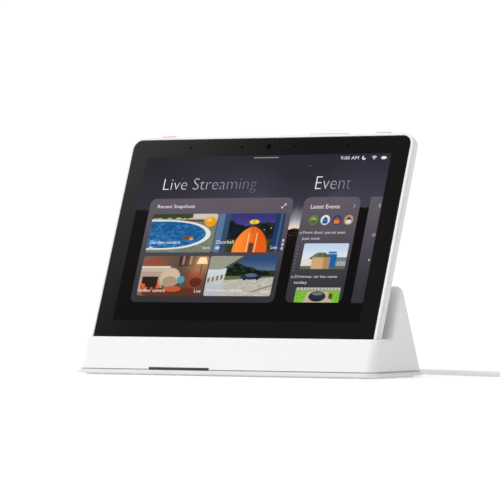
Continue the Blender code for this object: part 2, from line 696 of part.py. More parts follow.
def build_contact_block(finish, pins, tablet_axes):
    top, step = POCKET_FLOOR, block_flange_top()
    low = step - BLOCK_FLANGE[2]
    rows = []
    for height, size in ((top, BLOCK_SIZE), (step, BLOCK_SIZE), (step, BLOCK_FLANGE), (low, BLOCK_FLANGE)):
        outline = rounded_outline(size[0], size[1], BLOCK_RADIUS, steps=3)
        rows.append([(x, height, z - PIN_DEPTH) for x, z in outline])
    body = place("contact_block", loft("contact_block", rows), finish, tablet_axes)
    tip = TABLET_BOTTOM + PIN_REACH
    bottom = tip - PIN_LENGTH
    barrel = PIN_RADIUS + PIN_BARREL
    shoulder = POCKET_FLOOR - PIN_SHOULDER
    for number, x in enumerate(pin_places(), 1):
        deep = tip - bottom + PIN_TRAVEL + GAP
        hole = turned("pin_hole", [(0, 0), (barrel + GAP, 0), (barrel + GAP, -deep), (0, -deep)], 12)
        hole.transform(turn_to_y())
        boolean(body, hole, parent=tablet_axes, location=(x, tip, -PIN_DEPTH))
        profile = [
            (0, 0),
            (PIN_RADIUS * 0.6, 0),
            (PIN_RADIUS, -PIN_POINT),
            (PIN_RADIUS, shoulder - tip),
            (barrel, shoulder - tip),
            (barrel, bottom - tip),
            (0, bottom - tip),
        ]
        pin = turned("contact_pin", profile, 10)
        pin.transform(turn_to_y())
        place(f"contact_pin_{number}", pin, pins, tablet_axes, (x, tip, -PIN_DEPTH))


def turn_to_y():
    """Turns a body made about Z so that its top points along +Y."""
    return Matrix.Rotation(-math.pi / 2, 4, "X")


# ---------------------------------------------------------------- the tablet


def body_outline(inset):
    """The tablet's outline, drawn in by this much."""
    radius = max(TABLET_RADIUS - inset, 0.5 * MM)
    return rounded_outline(TABLET_WIDTH - 2 * inset, TABLET_HEIGHT - 2 * inset, radius, (0, GLASS_Y))


def build_cover_glass(finish, tablet_axes):
    outline = body_outline(RIM_WIDTH)
    mesh = loft("cover_glass", [level(outline, -GLASS_THICKNESS), level(outline, 0)])
    return place("cover_glass", mesh, finish, tablet_axes)


def panel_size(grown=0.0):
    return SCREEN_WIDTH + 2 * (PANEL_BORDER + grown), SCREEN_HEIGHT + 2 * (PANEL_BORDER + grown)


def build_front_frame(finish, tablet_axes):
    """The white ring round the glass, with the ledge that the glass is bonded to."""
    ledge_top = GLASS_THICKNESS + GAP
    ledge_low = ledge_top + GLASS_LEDGE
    skirt = HOUSING_LIP_WALL + GAP
    opening = rounded_outline(*panel_size(GAP), 1 * MM)
    rows = [
        level(body_outline(RING_EDGE), 0),
        level(body_outline(RIM_WIDTH - GLASS_GAP), 0),
        level(body_outline(RIM_WIDTH - GLASS_GAP), -ledge_top),
        level(opening, -ledge_top),
        level(opening, -ledge_low),
        level(body_outline(skirt), -ledge_low),
        level(body_outline(skirt), -RIM_DEPTH),
        level(body_outline(0), -RIM_DEPTH),
        level(body_outline(0), -RING_EDGE),
        level(body_outline(RING_CHAMFER), -RING_CHAMFER),
    ]
    frame = place("front_frame", loft("front_frame", rows, ring=True), finish, tablet_axes)
    hole = tube_hole(CAMERA_RADIUS + GAP, 10 * MM)
    boolean(frame, hole, parent=tablet_axes, location=(0, camera_y(), -5 * MM))
    return frame


def tube_hole(radius, length):
    return turned("round_hole", [(0, length), (radius, length), (radius, 0), (0, 0)])


def camera_y():
    """Middle of the camera, in the bezel's clear strip over the panel."""
    return panel_size(GAP)[1] / 2 + CAMERA_WALL + CAMERA_RADIUS + GAP


def back_outline(inset):
    """The raised back's outline, drawn in by this much from its foot."""
    left = RAISED_HALF - inset
    top = TABLET_TOP - BACK_TOP_MARGIN - inset
    bottom = TABLET_BOTTOM + BACK_BOTTOM_MARGIN + inset
    radius = max(BACK_RADIUS - inset, 2 * MM)
    return rounded_outline(2 * left, top - bottom, radius, (0, (top + bottom) / 2))


def build_rear_housing(finish, tablet_axes):
    wall = HOUSING_WALL
    rim_top = RIM_DEPTH + GAP
    skirt_low = GLASS_THICKNESS + GAP + GLASS_LEDGE + GAP
    bend = BACK_EDGE_RADIUS
    inner_bend = bend - wall
    rows = [level(body_outline(0), -rim_top)]
    for step in range(4):
        angle = math.pi / 2 * step / 3
        inset = bend * (1 - math.cos(angle))
        rows.append(level(body_outline(inset), -(EDGE_THICKNESS - bend + bend * math.sin(angle))))
    soft = BACK_SOFT_EDGE
    rows += [
        level(back_outline(0), -EDGE_THICKNESS),
        level(back_outline(BACK_RAMP - soft), -(BACK_THICKNESS - soft)),
        level(back_outline(BACK_RAMP), -(BACK_THICKNESS - soft / 3)),
        level(back_outline(BACK_RAMP + soft), -BACK_THICKNESS),
    ]
    inside = [
        level(back_outline(BACK_RAMP + wall / 2), -(BACK_THICKNESS - wall)),
        level(back_outline(wall / 2), -(EDGE_THICKNESS - wall)),
    ]
    for step in range(3, -1, -1):
        angle = math.pi / 2 * step / 3
        inset = wall + inner_bend * (1 - math.cos(angle))
        drop = EDGE_THICKNESS - bend + inner_bend * math.sin(angle)
        inside.append(level(body_outline(inset), -drop))
    inside += [
        level(body_outline(wall), -skirt_low),
        level(body_outline(HOUSING_LIP_WALL), -skirt_low),
        level(body_outline(HOUSING_LIP_WALL), -rim_top),
    ]
    housing = place("rear_housing", loft("rear_housing", rows[::-1] + inside[::-1]), finish, tablet_axes)
    for middle, length, _proud in (ALARM_BUTTON, VOLUME_ROCKER, POWER_BUTTON):
        wide = length + 2 * SLIDE_GAP
        tall = BUTTON_THICKNESS + 2 * SLIDE_GAP
        slot = block("button_slot", (wide, tall, 8 * MM), radius=tall / 2 - 0.05 * MM)
        slot.transform(turn_to_y())
        boolean(housing, slot, parent=tablet_axes, location=(middle, TABLET_TOP, -BUTTON_DEPTH))
    slot = block("contact_slot", (contact_width() + 2 * GAP, 8 * MM, PAD_SIZE[1] + 2 * GAP))
    boolean(housing, slot, parent=tablet_axes, location=(0, TABLET_BOTTOM, -PIN_DEPTH))
    boolean(housing, speaker_slots(), parent=tablet_axes)
    for x, y in housing_screw_places():
        seat = BACK_THICKNESS - HOUSING_SCREW_HEAD - GAP
        hole = turned("screw_hole", [
            (0, -(BACK_THICKNESS - 4 * MM)),
            (SCREW_SHANK_RADIUS + GAP, -(BACK_THICKNESS - 4 * MM)),
            (SCREW_SHANK_RADIUS + GAP, -seat),
            (SCREW_HEAD_RADIUS + GAP, -seat),
            (SCREW_HEAD_RADIUS + GAP, -(BACK_THICKNESS + 2 * MM)),
            (0, -(BACK_THICKNESS + 2 * MM)),
        ])
        boolean(housing, hole, parent=tablet_axes, location=(x, y, 0))
    return housing


def contact_width():
    return (PIN_COUNT - 1) * PIN_PITCH + PAD_SIZE[0]


def speaker_places():
    """Middle of each speaker, across the tablet and up it."""
    x = RAISED_HALF - SPEAKER_SIDE
    top = TABLET_TOP - BACK_TOP_MARGIN - SPEAKER_TOP
    bottom = TABLET_BOTTOM + BACK_BOTTOM_MARGIN + SPEAKER_BOTTOM
    return {"speaker_left": (-x, top), "speaker_right": (x, bottom)}


def speaker_slots():
    """One mesh of every grille slot's space, through the back's outer wall."""
    shape = bmesh.new()
    for x, y in speaker_places().values():
        for i in range(GRILLE_SLOTS):
            middle = x + (i - (GRILLE_SLOTS - 1) / 2) * GRILLE_PITCH
            rows = []
            for z in (-BACK_THICKNESS - HOUSING_WALL, -HOUSING_INSIDE + GRILLE_REACH):
                outline = rounded_outline(*GRILLE_SLOT, GRILLE_SLOT_RADIUS, (middle, y), steps=2)
                rows.append([shape.verts.new(p) for p in level(outline, z)])
            count = len(rows[0])
            shape.faces.new(rows[0])
            shape.faces.new(rows[1])
            for i in range(count):
                j = (i + 1) % count
                shape.faces.new((rows[0][i], rows[0][j], rows[1][j], rows[1][i]))
    return mesh_of("speaker_slots", shape)


def housing_screw_places():
    margin = BACK_RAMP + HOUSING_SCREW_MARGIN
    x = RAISED_HALF - margin
    top = TABLET_TOP - BACK_TOP_MARGIN - margin
    bottom = TABLET_BOTTOM + BACK_BOTTOM_MARGIN + margin
    return [(-x, bottom), (x, bottom), (-x, top), (x, top)]


def build_housing_screws(finish, tablet_axes):
    head_top = -(BACK_THICKNESS - 0.05 * MM)
    seat = head_top + HOUSING_SCREW_HEAD
    profile = [
        (0, seat + HOUSING_SCREW_LENGTH),
        (SCREW_SHANK_RADIUS, seat + HOUSING_SCREW_LENGTH),
        (SCREW_SHANK_RADIUS, seat),
        (SCREW_HEAD_RADIUS, seat),
        (SCREW_HEAD_RADIUS, head_top),
        (0, head_top),
    ]
    for number, (x, y) in enumerate(housing_screw_places(), 1):
        place(f"housing_screw_{number}", turned("housing_screw", profile, 12), finish, tablet_axes, (x, y, 0))


def build_display_panel(finish, tablet_axes):
    width, height = panel_size()
    middle = -(GLASS_THICKNESS + GAP + PANEL_THICKNESS / 2)
    mesh = block("display_panel", (width, height, PANEL_THICKNESS), radius=0.8 * MM)
    place("display_panel", mesh, finish, tablet_axes, (0, 0, middle))


def build_mid_frame(finish, tablet_axes):
    """A stamped chassis plate with a post for each housing screw."""
    side = HOUSING_WALL + 2 * GAP
    width = TABLET_WIDTH - 2 * side
    bottom = TABLET_BOTTOM + side + CHASSIS_FOOT
    top = KEY_BOARD_TOP - KEY_BOARD_THICKNESS - GAP
    centre = (0, (top + bottom) / 2)
    front = -(PANEL_BACK + GAP)
    outline = rounded_outline(width, top - bottom, TABLET_RADIUS - side, centre)
    plate = place("mid_frame", loft("mid_frame", [
        level(outline, -CHASSIS_BACK), level(outline, front)]), finish, tablet_axes)
    post_end = HOUSING_INSIDE - GAP
    for x, y in housing_screw_places():
        length = post_end - CHASSIS_BACK + CHASSIS_THICKNESS / 2
        boolean(plate, tube_hole(SCREW_POST_RADIUS, length), "UNION", tablet_axes, (x, y, -post_end))
        hole = tube_hole(SCREW_SHANK_RADIUS + GAP, post_end - CHASSIS_BACK)
        boolean(plate, hole, parent=tablet_axes, location=(x, y, -post_end - GAP))
    return plate


def build_electronics(finishes, tablet_axes):
    behind = -(CHASSIS_BACK + GAP)
    bay = RAISED_HALF - BAY_MARGIN
    board_x = bay - MAIN_BOARD_SIZE[0] / 2
    battery_right = bay - MAIN_BOARD_SIZE[0] - BAY_GAP
    low = TABLET_BOTTOM + BACK_BOTTOM_MARGIN + BATTERY_FOOT
    high = speaker_places()["speaker_left"][1] - SPEAKER_WIDTH / 2 - BATTERY_GAP
    battery = (battery_right + bay, high - low, HOUSING_INSIDE - GAP - CHASSIS_BACK - GAP - BATTERY_ROOM)
    mesh = block("battery_pack", battery, radius=BATTERY_RADIUS)
    place("battery_pack", mesh, finishes["cell"], tablet_axes,
          ((battery_right - bay) / 2, (low + high) / 2, behind - battery[2] / 2))
    mesh = block("main_board", MAIN_BOARD_SIZE, radius=MAIN_BOARD_RADIUS)
    place("main_board", mesh, finishes["board"], tablet_axes,
          (board_x, MAIN_BOARD_Y, behind - MAIN_BOARD_SIZE[2] / 2))
    height = behind - MAIN_BOARD_SIZE[2] - GAP - SHIELD_SIZE[2] / 2
    place("shield_can", block("shield_can", SHIELD_SIZE, radius=SHIELD_RADIUS), finishes["steel"], tablet_axes,
          (board_x + SHIELD_OFFSET[0], MAIN_BOARD_Y + SHIELD_OFFSET[1], height))
    for name, (x, y) in speaker_places().items():
        mesh = block(name, SPEAKER_SIZE, radius=SPEAKER_RADIUS)
        height = -(HOUSING_INSIDE - GAP) + SPEAKER_SIZE[2] / 2
        place(name, mesh, finishes["black"], tablet_axes, (x, y, height))
    mesh = turned("camera_module", [
        (0, 0), (CAMERA_RADIUS, 0), (CAMERA_RADIUS, -CAMERA_LENGTH), (0, -CAMERA_LENGTH)])
    place("camera_module", mesh, finishes["black"], tablet_axes, (0, camera_y(), -(GLASS_THICKNESS + GAP)))
    strip = (contact_width() + 2 * STRIP_BORDER[0], STRIP_THICKNESS, PAD_SIZE[1] + 2 * STRIP_BORDER[1])
    height = TABLET_BOTTOM + HOUSING_WALL + GAP + strip[1] / 2
    place("contact_strip", block("contact_strip", strip), finishes["black"], tablet_axes,
          (0, height, -PIN_DEPTH))
    for number, x in enumerate(pin_places(), 1):
        mesh = block("contact_pad", (PAD_SIZE[0], PAD_SIZE[2], PAD_SIZE[1]))
        height = TABLET_BOTTOM + PAD_RECESS + PAD_SIZE[2] / 2
        place(f"contact_pad_{number}", mesh, finishes["gold"], tablet_axes, (x, height, -PIN_DEPTH))


def switch_places():
    """Middle of each key switch along the top edge."""
    spread = ROCKER_LENGTH / 2 - SWITCH_SIZE[0] / 2 - ROCKER_SWITCH_INSET
    return {
        "switch_alarm": ALARM_BUTTON[0],
        "switch_volume_down": VOLUME_ROCKER[0] - spread,
        "switch_volume_up": VOLUME_ROCKER[0] + spread,
        "switch_power": POWER_BUTTON[0],
    }


def build_keys(finishes, tablet_axes):
    left = ALARM_BUTTON[0] - SWITCH_SIZE[0]
    right = POWER_BUTTON[0] + SWITCH_SIZE[0]
    size = (right - left, KEY_BOARD_THICKNESS, KEY_BOARD_WIDTH)
    middle = KEY_BOARD_TOP - KEY_BOARD_THICKNESS / 2
    place("key_board", block("key_board", size), finishes["board"], tablet_axes,
          ((left + right) / 2, middle, -BUTTON_DEPTH - KEY_BOARD_SHIFT))
    for name, x in switch_places().items():
        height = SWITCH_TOP - SWITCH_SIZE[1] / 2
        place(name, block(name, SWITCH_SIZE), finishes["black"], tablet_axes, (x, height, -BUTTON_DEPTH))


def button_mesh(name, length, proud, stems, pivot):
    """A button with its flange and stems, in tablet directions, from a pivot given up the tablet."""
    half_round = BUTTON_THICKNESS / 2 - 0.05 * MM
    top = TABLET_TOP + proud - pivot
    flange = FLANGE_TOP - pivot
    rows = []
    for height, grown in (
        (flange - BUTTON_FLANGE, FLANGE_MARGIN),
        (flange, FLANGE_MARGIN),
        (flange, 0),
        (top - BUTTON_EDGE, 0),
        (top, -BUTTON_EDGE),
    ):
        outline = rounded_outline(
            length + 2 * grown, BUTTON_THICKNESS + 2 * min(grown, FLANGE_SIDE), half_round + min(grown, 0), steps=4
        )
        rows.append([(x, height, z) for x, z in outline])
    mesh = loft(name, rows)
    return mesh, [(x, flange - BUTTON_FLANGE - BUTTON_STEM / 2) for x in stems]


def build_button(name, spec, stems, finish, tablet_axes, pivot=0.0):
    middle, length, proud = spec
    mesh, feet = button_mesh(name, length, proud, stems, pivot)
    button = place(name, mesh, finish, tablet_axes, (middle, pivot, -BUTTON_DEPTH))
    for x, y in feet:
        stem = block("stem", (STEM_SIZE[0], BUTTON_STEM + STEM_LAP, STEM_SIZE[1]))
        boolean(button, stem, "UNION", tablet_axes, (middle + x, pivot + y + STEM_LAP / 2, -BUTTON_DEPTH))
    return button


def build_buttons(finishes, tablet_axes):
    build_button("alarm_button", ALARM_BUTTON, [0], finishes["red"], tablet_axes)
    build_button("power_button", POWER_BUTTON, [0], finishes["white"], tablet_axes)
    spread = switch_places()["switch_volume_up"] - VOLUME_ROCKER[0]
    build_button("volume_rocker", VOLUME_ROCKER, [-spread, spread], finishes["white"], tablet_axes,
                 pivot=FLANGE_TOP)


# ---------------------------------------------------------------- the cable


def plug_front_y():
    return rear_y(SOCKET_Z) - PLUG_INSET


def plug_end_y():
    return plug_front_y() + PLUG_SIZE[1] + RELIEF_LENGTH


def plug_mesh(name, size, relief_length, relief_radius, cable_radius):
    """A plug's moulded body and tapered strain relief, from 0 along +Y."""
    wide, long, tall = size
    soft = PLUG_SOFT_EDGE
    rows = []
    shapes = [
        (0, wide - soft, tall - soft, tall / 2 - soft),
        (soft / 2, wide, tall, tall / 2 - soft),
        (long - 3 * MM, wide, tall, tall / 2 - soft),
        (long, wide - 2.4 * MM, tall - 1.0 * MM, tall / 2 - 1.2 * MM),
        (long, 2 * relief_radius, 2 * relief_radius, relief_radius * 0.98),
        (long + relief_length, 2.3 * cable_radius, 2.3 * cable_radius, 1.12 * cable_radius),
    ]
    for y, width, height, radius in shapes:
        rows.append([(x, y, z) for x, z in rounded_outline(width, height, radius, steps=4)])
    return loft(name, rows)


def build_dock_plug(plastic, metal):
    location = (0, plug_front_y(), SOCKET_Z)
    mesh = plug_mesh("plug_body", PLUG_SIZE, RELIEF_LENGTH, RELIEF_RADIUS, CABLE_RADIUS)
    place("plug_body", mesh, plastic, location=location)
    wide, long, tall = PLUG_TONGUE
    rows = [
        [(x, y, z) for x, z in rounded_outline(wide, tall, tall / 2 - 0.05 * MM, steps=4)]
        for y in (-GAP, -GAP - long)
    ]
    place("plug_tongue", loft("plug_tongue", rows), metal, location=location)


def smooth_points(route, spacing):
    """Points on the Catmull-Rom curve through a route, about this far apart."""
    ends = [route[0] * 2 - route[1]] + route + [route[-1] * 2 - route[-2]]
    fine = []
    for a, b, c, d in zip(ends, ends[1:], ends[2:], ends[3:]):
        for step in range(20):
            t = step / 20
            fine.append(0.5 * (
                2 * b + (c - a) * t + (2 * a - 5 * b + 4 * c - d) * t ** 2 + (3 * b - a - 3 * c + d) * t ** 3
            ))
    fine.append(route[-1])
    lengths = [0.0]
    for a, b in zip(fine, fine[1:]):
        lengths.append(lengths[-1] + (b - a).length)
    count = max(2, round(lengths[-1] / spacing))
    points, i = [], 0
    for n in range(count + 1):
        goal = lengths[-1] * n / count
        while i < len(fine) - 2 and lengths[i + 1] < goal:
            i += 1
        share = (goal - lengths[i]) / (lengths[i + 1] - lengths[i])
        points.append(fine[i].lerp(fine[i + 1], share))
    return points


def tube_along(name, route, finish):
    points = smooth_points([Vector(p) * MM for p in route], 2.6 * CABLE_DIAMETER)
    curve = bpy.data.curves.new(name, "CURVE")
    curve.dimensions = "3D"
    spline = curve.splines.new("POLY")
    spline.points.add(len(points) - 1)
    for slot, point in zip(spline.points, points):
        slot.co = (*point, 1.0)
    curve.bevel_depth = CABLE_RADIUS
    curve.bevel_resolution = 2
    curve.use_fill_caps = True
    curve.materials.append(finish)
    made = bpy.data.objects.new(name, curve)
    bpy.context.scene.collection.objects.link(made)
    return made


def cable_route():
    """Route in millimetres from the dock's plug to the coil: down to the table, then off to the right."""
    start = (plug_end_y() + GAP) / MM
    height = SOCKET_Z / MM
    rest = (CABLE_RADIUS + TABLE_GAP) / MM
    return [
        (0, start, height),
        (0, start + 3, height - 0.1),
        (0.8, start + 8, height - 1.3),
        (4, start + 15, 5.9),
        (11, 77.4, 3.1),
        (22, 80.6, rest + 0.3),
        (36, 80.6, rest),
        (56, 77.2, rest),
        (80, 70.6, rest),
        (104, 61.6, rest),
        (124, 53.4, rest),
        (143, 46.6, rest),
        (157.2, 44.0, rest),
    ]


def tail_route():
    """Route in millimetres from the coil to the far plug."""
    end_x, end_y = FAR_RELIEF_START[0] / MM, FAR_RELIEF_START[1] / MM
    rest = (CABLE_RADIUS + TABLE_GAP) / MM
    return [
        (192.05, 53.3, rest),
        (196.2, 56.2, rest),
        (199.8, 60.2, rest + 0.3),
        (202.2, 65.2, rest + 1.0),
        (end_x, end_y - GAP / MM, (FAR_PLUG_SIZE[2] / 2 + FAR_PLUG_LIFT) / MM),
    ]


def build_cable(finish, plastic, metal):
    tube_along("cable_run", cable_route(), finish)
    tube_along("cable_tail", tail_route(), finish)
    half = COIL_WIDTH / 2
    rows = []
    steps = 40
    soft = COIL_SOFT_EDGE
    for r, z in (
        (COIL_RADIUS - half, soft),
        (COIL_RADIUS - half + soft, TABLE_GAP),
        (COIL_RADIUS + half - soft, TABLE_GAP),
        (COIL_RADIUS + half, soft),
        (COIL_RADIUS + half, COIL_HEIGHT - soft),
        (COIL_RADIUS + half - soft, COIL_HEIGHT),
        (COIL_RADIUS - half + soft, COIL_HEIGHT),
        (COIL_RADIUS - half, COIL_HEIGHT - soft),
    ):
        rows.append([
            (r * math.cos(math.tau * i / steps), r * math.sin(math.tau * i / steps), z) for i in range(steps)
        ])
    place("cable_coil", loft("cable_coil", rows, ring=True), finish, location=(*COIL_CENTRE, 0))
    x, y = FAR_RELIEF_START
    centre_z = FAR_PLUG_SIZE[2] / 2 + FAR_PLUG_LIFT
    relief = RELIEF_LENGTH
    mesh = plug_mesh("far_plug_body", FAR_PLUG_SIZE, relief, RELIEF_RADIUS, CABLE_RADIUS)
    far = relief + FAR_PLUG_SIZE[1]
    place("far_plug_body", mesh, plastic, location=(x, y + far, centre_z), rotation=(0, 0, math.pi))
    wide, long, tall = FAR_SHELL_SIZE
    shell = block("far_plug_shell", (wide, long, tall), radius=0.3 * MM)
    place("far_plug_shell", shell, metal, location=(x, y + far + GAP + long / 2, centre_z))


def main():
    clear_scene()
    finishes = {
        "white": material("white_plastic", (0.86, 0.86, 0.86), 0.42),
        "red": material("red_plastic", (0.78, 0.09, 0.09), 0.4),
        "black": material("black_plastic", (0.03, 0.03, 0.03), 0.5),
        "smoke": material("smoked_window", (0.05, 0.05, 0.06), 0.2),
        "glass": material("black_glass", (0.012, 0.012, 0.013), 0.06),
        "screen": material("lit_panel", (0.1, 0.09, 0.12), 0.3),
        "steel": material("sheet_steel", (0.6, 0.6, 0.6), 0.35, 1.0),
        "gold": material("gold_contact", (0.85, 0.62, 0.25), 0.3, 1.0),
        "board": material("circuit_board", (0.03, 0.16, 0.07), 0.55),
        "cell": material("cell_wrap", (0.22, 0.23, 0.26), 0.4),
        "rubber": material("grey_rubber", (0.35, 0.35, 0.35), 0.8),
        "cable": material("white_cable", (0.8, 0.8, 0.8), 0.5),
    }
    centre = tablet_point(0, 0, 0)
    tablet_axes = empty("tablet_axes", centre, (math.pi / 2 - TILT, 0, 0))
    build_base_pad(finishes["rubber"])
    build_base_plate(finishes["white"])
    build_dock_shell(finishes["white"], tablet_axes)
    build_base_screws(finishes["steel"])
    build_status_light(finishes["smoke"], finishes["board"])
    build_ballast(finishes["steel"])
    build_dock_board(finishes["board"], finishes["steel"])
    build_contact_block(finishes["black"], finishes["gold"], tablet_axes)
    build_cover_glass(finishes["glass"], tablet_axes)
    build_display_panel(finishes["screen"], tablet_axes)
    build_front_frame(finishes["white"], tablet_axes)
    build_mid_frame(finishes["steel"], tablet_axes)
    build_rear_housing(finishes["white"], tablet_axes)
    build_electronics(finishes, tablet_axes)
    build_keys(finishes, tablet_axes)
    build_buttons(finishes, tablet_axes)
    build_housing_screws(finishes["steel"], tablet_axes)
    build_dock_plug(finishes["cable"], finishes["steel"])
    build_cable(finishes["cable"], finishes["cable"], finishes["steel"])


main()
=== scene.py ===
"""Looks of a smart home hub: a tablet display that stands in its charging dock, with its USB lead.

Sizes are in millimetres until a piece is made, and every finished piece sits at the origin in metres.
"""

import logging
import math
from dataclasses import dataclass, field
from enum import Enum
from typing import Callable, Iterable, Sequence

import bmesh
import bpy
import numpy as np
from bpy.types import Material, NodeSocket, Object
from mathutils import Matrix, Vector


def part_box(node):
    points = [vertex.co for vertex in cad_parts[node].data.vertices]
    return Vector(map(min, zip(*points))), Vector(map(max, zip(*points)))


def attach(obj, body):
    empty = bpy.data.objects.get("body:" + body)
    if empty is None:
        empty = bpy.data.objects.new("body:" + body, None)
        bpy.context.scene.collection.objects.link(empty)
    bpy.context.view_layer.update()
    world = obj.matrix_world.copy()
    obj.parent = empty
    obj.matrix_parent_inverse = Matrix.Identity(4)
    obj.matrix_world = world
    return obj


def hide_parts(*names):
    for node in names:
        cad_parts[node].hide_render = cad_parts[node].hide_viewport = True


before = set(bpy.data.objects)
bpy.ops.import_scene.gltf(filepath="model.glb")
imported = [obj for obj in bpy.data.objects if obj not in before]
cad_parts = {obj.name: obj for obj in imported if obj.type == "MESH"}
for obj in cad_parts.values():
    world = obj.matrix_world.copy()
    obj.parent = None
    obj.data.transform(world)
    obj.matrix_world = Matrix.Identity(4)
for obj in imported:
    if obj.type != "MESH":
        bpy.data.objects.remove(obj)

LOG = logging.getLogger("home_hub")
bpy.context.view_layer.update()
MM = 0.001
GAP = 0.3
TILT = math.radians(21.6)
SHARP = 35.0
ALONG_Y = Matrix.Rotation(-math.pi / 2, 4, "X")

Array = np.ndarray
Pair = tuple[float, float]
Point = tuple[float, float, float]
Colour = tuple[float, float, float]
Face = tuple[int, ...]
Outline = list[Pair]
Solid = tuple[list[Point], list[Face]]


# ------------------------------------------------------------------ shapes


def rounded(width: float, height: float, radius: float, centre: Pair = (0, 0), steps: int = 12) -> Outline:
    """Anticlockwise outline of a rectangle with round corners.

    Args:
        width: Size along the first axis.
        height: Size along the second axis.
        radius: Radius of the corners.
        centre: Middle of the rectangle.
        steps: Faces in each corner.

    Returns:
        The outline's points.
    """
    points = []
    for corner, (side_x, side_y) in enumerate(((1, 1), (-1, 1), (-1, -1), (1, -1))):
        for step in range(steps + 1):
            angle = math.pi / 2 * (corner + step / steps)
            points.append((
                centre[0] + side_x * (width / 2 - radius) + radius * math.cos(angle),
                centre[1] + side_y * (height / 2 - radius) + radius * math.sin(angle),
            ))
    return points


def level(outline: Outline, height: float) -> list[Point]:
    """The outline's points at one height."""
    return [(x, y, height) for x, y in outline]


def lofted(rows: Sequence[Sequence[Point]], ring: bool = False) -> Solid:
    """A closed body through rows of equally many points.

    Args:
        rows: The sections, in order.
        ring: True where the last section joins the first, and no ends are capped.

    Returns:
        The body.
    """
    count = len(rows[0])
    points = [tuple(p) for row in rows for p in row]
    faces: list[Face] = []
    starts = list(range(0, len(points), count))
    pairs = list(zip(starts, starts[1:]))
    if ring:
        pairs.append((starts[-1], starts[0]))
    else:
        faces += [tuple(range(count))[::-1], tuple(range(starts[-1], starts[-1] + count))]
    for low, high in pairs:
        faces += [(low + i, low + (i + 1) % count, high + (i + 1) % count, high + i) for i in range(count)]
    return points, faces


def block(
    size: Point, centre: Point = (0, 0, 0), radius: float = 0.0, edge: float = 0.0, steps: int = 6
) -> Solid:
    """A box, with round corners seen along Z and softened edges at its top and foot.

    Args:
        size: Width, depth and height.
        centre: Its middle.
        radius: Radius of the corners.
        edge: Radius of the softened edges.
        steps: Faces in each corner.

    Returns:
        The body.
    """
    low, high = centre[2] - size[2] / 2, centre[2] + size[2] / 2
    corner = max(radius, edge + 0.01) if edge else max(radius, 0.01)
    levels = [(low, 0.0), (high, 0.0)]
    if edge:
        bend = [(edge * (1 - math.cos(a)), edge * (1 - math.sin(a))) for a in np.linspace(0, math.pi / 2, 5)]
        levels = [(low + rise, inset) for inset, rise in bend[::-1]]
        levels += [(high - rise, inset) for inset, rise in bend]
    return lofted([
        level(rounded(size[0] - 2 * inset, size[1] - 2 * inset, corner - inset, centre[:2], steps), height)
        for height, inset in levels
    ])


def turned(profile: Sequence[Pair], steps: int = 40) -> Solid:
    """A body turned about Z.

    Args:
        profile: (radius, height) points, of which the first and the last lie on the axis.
        steps: Faces round the axis.

    Returns:
        The body.
    """
    angles = [math.tau * i / steps for i in range(steps)]
    rows = [[(r * math.cos(a), r * math.sin(a), z) for a in angles] for r, z in profile[1:-1]]
    points, faces = lofted(rows)
    points += [(0, 0, profile[0][1]), (0, 0, profile[-1][1])]
    last = (len(rows) - 1) * steps
    faces = faces[2:]
    faces += [(len(points) - 2, (i + 1) % steps, i) for i in range(steps)]
    faces += [(len(points) - 1, last + i, last + (i + 1) % steps) for i in range(steps)]
    return points, faces


def merged(*solids: Solid) -> Solid:
    """Several bodies as one list of points and faces.

    Args:
        solids: The bodies.

    Returns:
        One body.
    """
    points: list[Point] = []
    faces: list[Face] = []
    for some_points, some_faces in solids:
        faces += [tuple(i + len(points) for i in face) for face in some_faces]
        points += some_points
    return points, faces


def moved(solid: Solid, matrix: Matrix) -> Solid:
    """The body after a move or a turn, in millimetres."""
    return [tuple(matrix @ Vector(p)) for p in solid[0]], solid[1]


def shifted(solid: Solid, x: float = 0, y: float = 0, z: float = 0) -> Solid:
    """The body shifted along the axes."""
    return [(a + x, b + y, c + z) for a, b, c in solid[0]], solid[1]


def lean_matrix() -> Matrix:
    """Works out the tablet's axes: x across the screen, y up it and z out of the glass.

    Returns:
        The axes in metres, from the screen's middle.
    """
    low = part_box("cover_glass")[0]
    rise = -(TabletSizes.glass_y - TabletSizes.glass_height / 2) * MM
    depth = TabletSizes.glass_thickness * MM
    sine, cosine = math.sin(TILT), math.cos(TILT)
    origin = Vector((0, low.y + rise * sine, low.z + depth * sine + rise * cosine))
    return Matrix.Translation(origin) @ Matrix.Rotation(math.pi / 2 - TILT, 4, "X")


def piece(
    name: str, solid: Solid, finish: Material | None, matrix: Matrix | None = None,
    sheet: bool = False, smooth: float = SHARP,
) -> Object:
    """Makes a body in millimetres into an object at the origin, in metres.

    Args:
        name: The object's name.
        solid: Its points and faces.
        finish: Its material.
        matrix: The axes that the body is given in, in metres.
        sheet: True for a single sheet, whose faces already point outwards.
        smooth: Faces that meet at less than this angle are shaded as one surface.

    Returns:
        The object.
    """
    form = bmesh.new()
    scale = (matrix or Matrix.Identity(4)) @ Matrix.Scale(MM, 4)
    corners = [form.verts.new(scale @ Vector(p)) for p in solid[0]]
    for face in solid[1]:
        form.faces.new([corners[i] for i in face])
    if not sheet:
        bmesh.ops.recalc_face_normals(form, faces=form.faces)
    mesh = bpy.data.meshes.new(name)
    form.to_mesh(mesh)
    form.free()
    if finish:
        mesh.materials.append(finish)
    mesh.shade_smooth()
    mesh.set_sharp_from_angle(angle=math.radians(smooth))
    made = bpy.data.objects.new(name, mesh)
    bpy.context.scene.collection.objects.link(made)
    return made


def settled(made: Object) -> Object:
    """Makes the result of an object's modifiers its own plain mesh.

    Args:
        made: The object.

    Returns:
        The same object.
    """
    finishes = [m for m in made.data.materials if m]
    graph = bpy.context.evaluated_depsgraph_get()
    mesh = bpy.data.meshes.new_from_object(made.evaluated_get(graph))
    made.modifiers.clear()
    made.data = mesh
    if not mesh.materials:
        for finish in finishes:
            mesh.materials.append(finish)
    return made


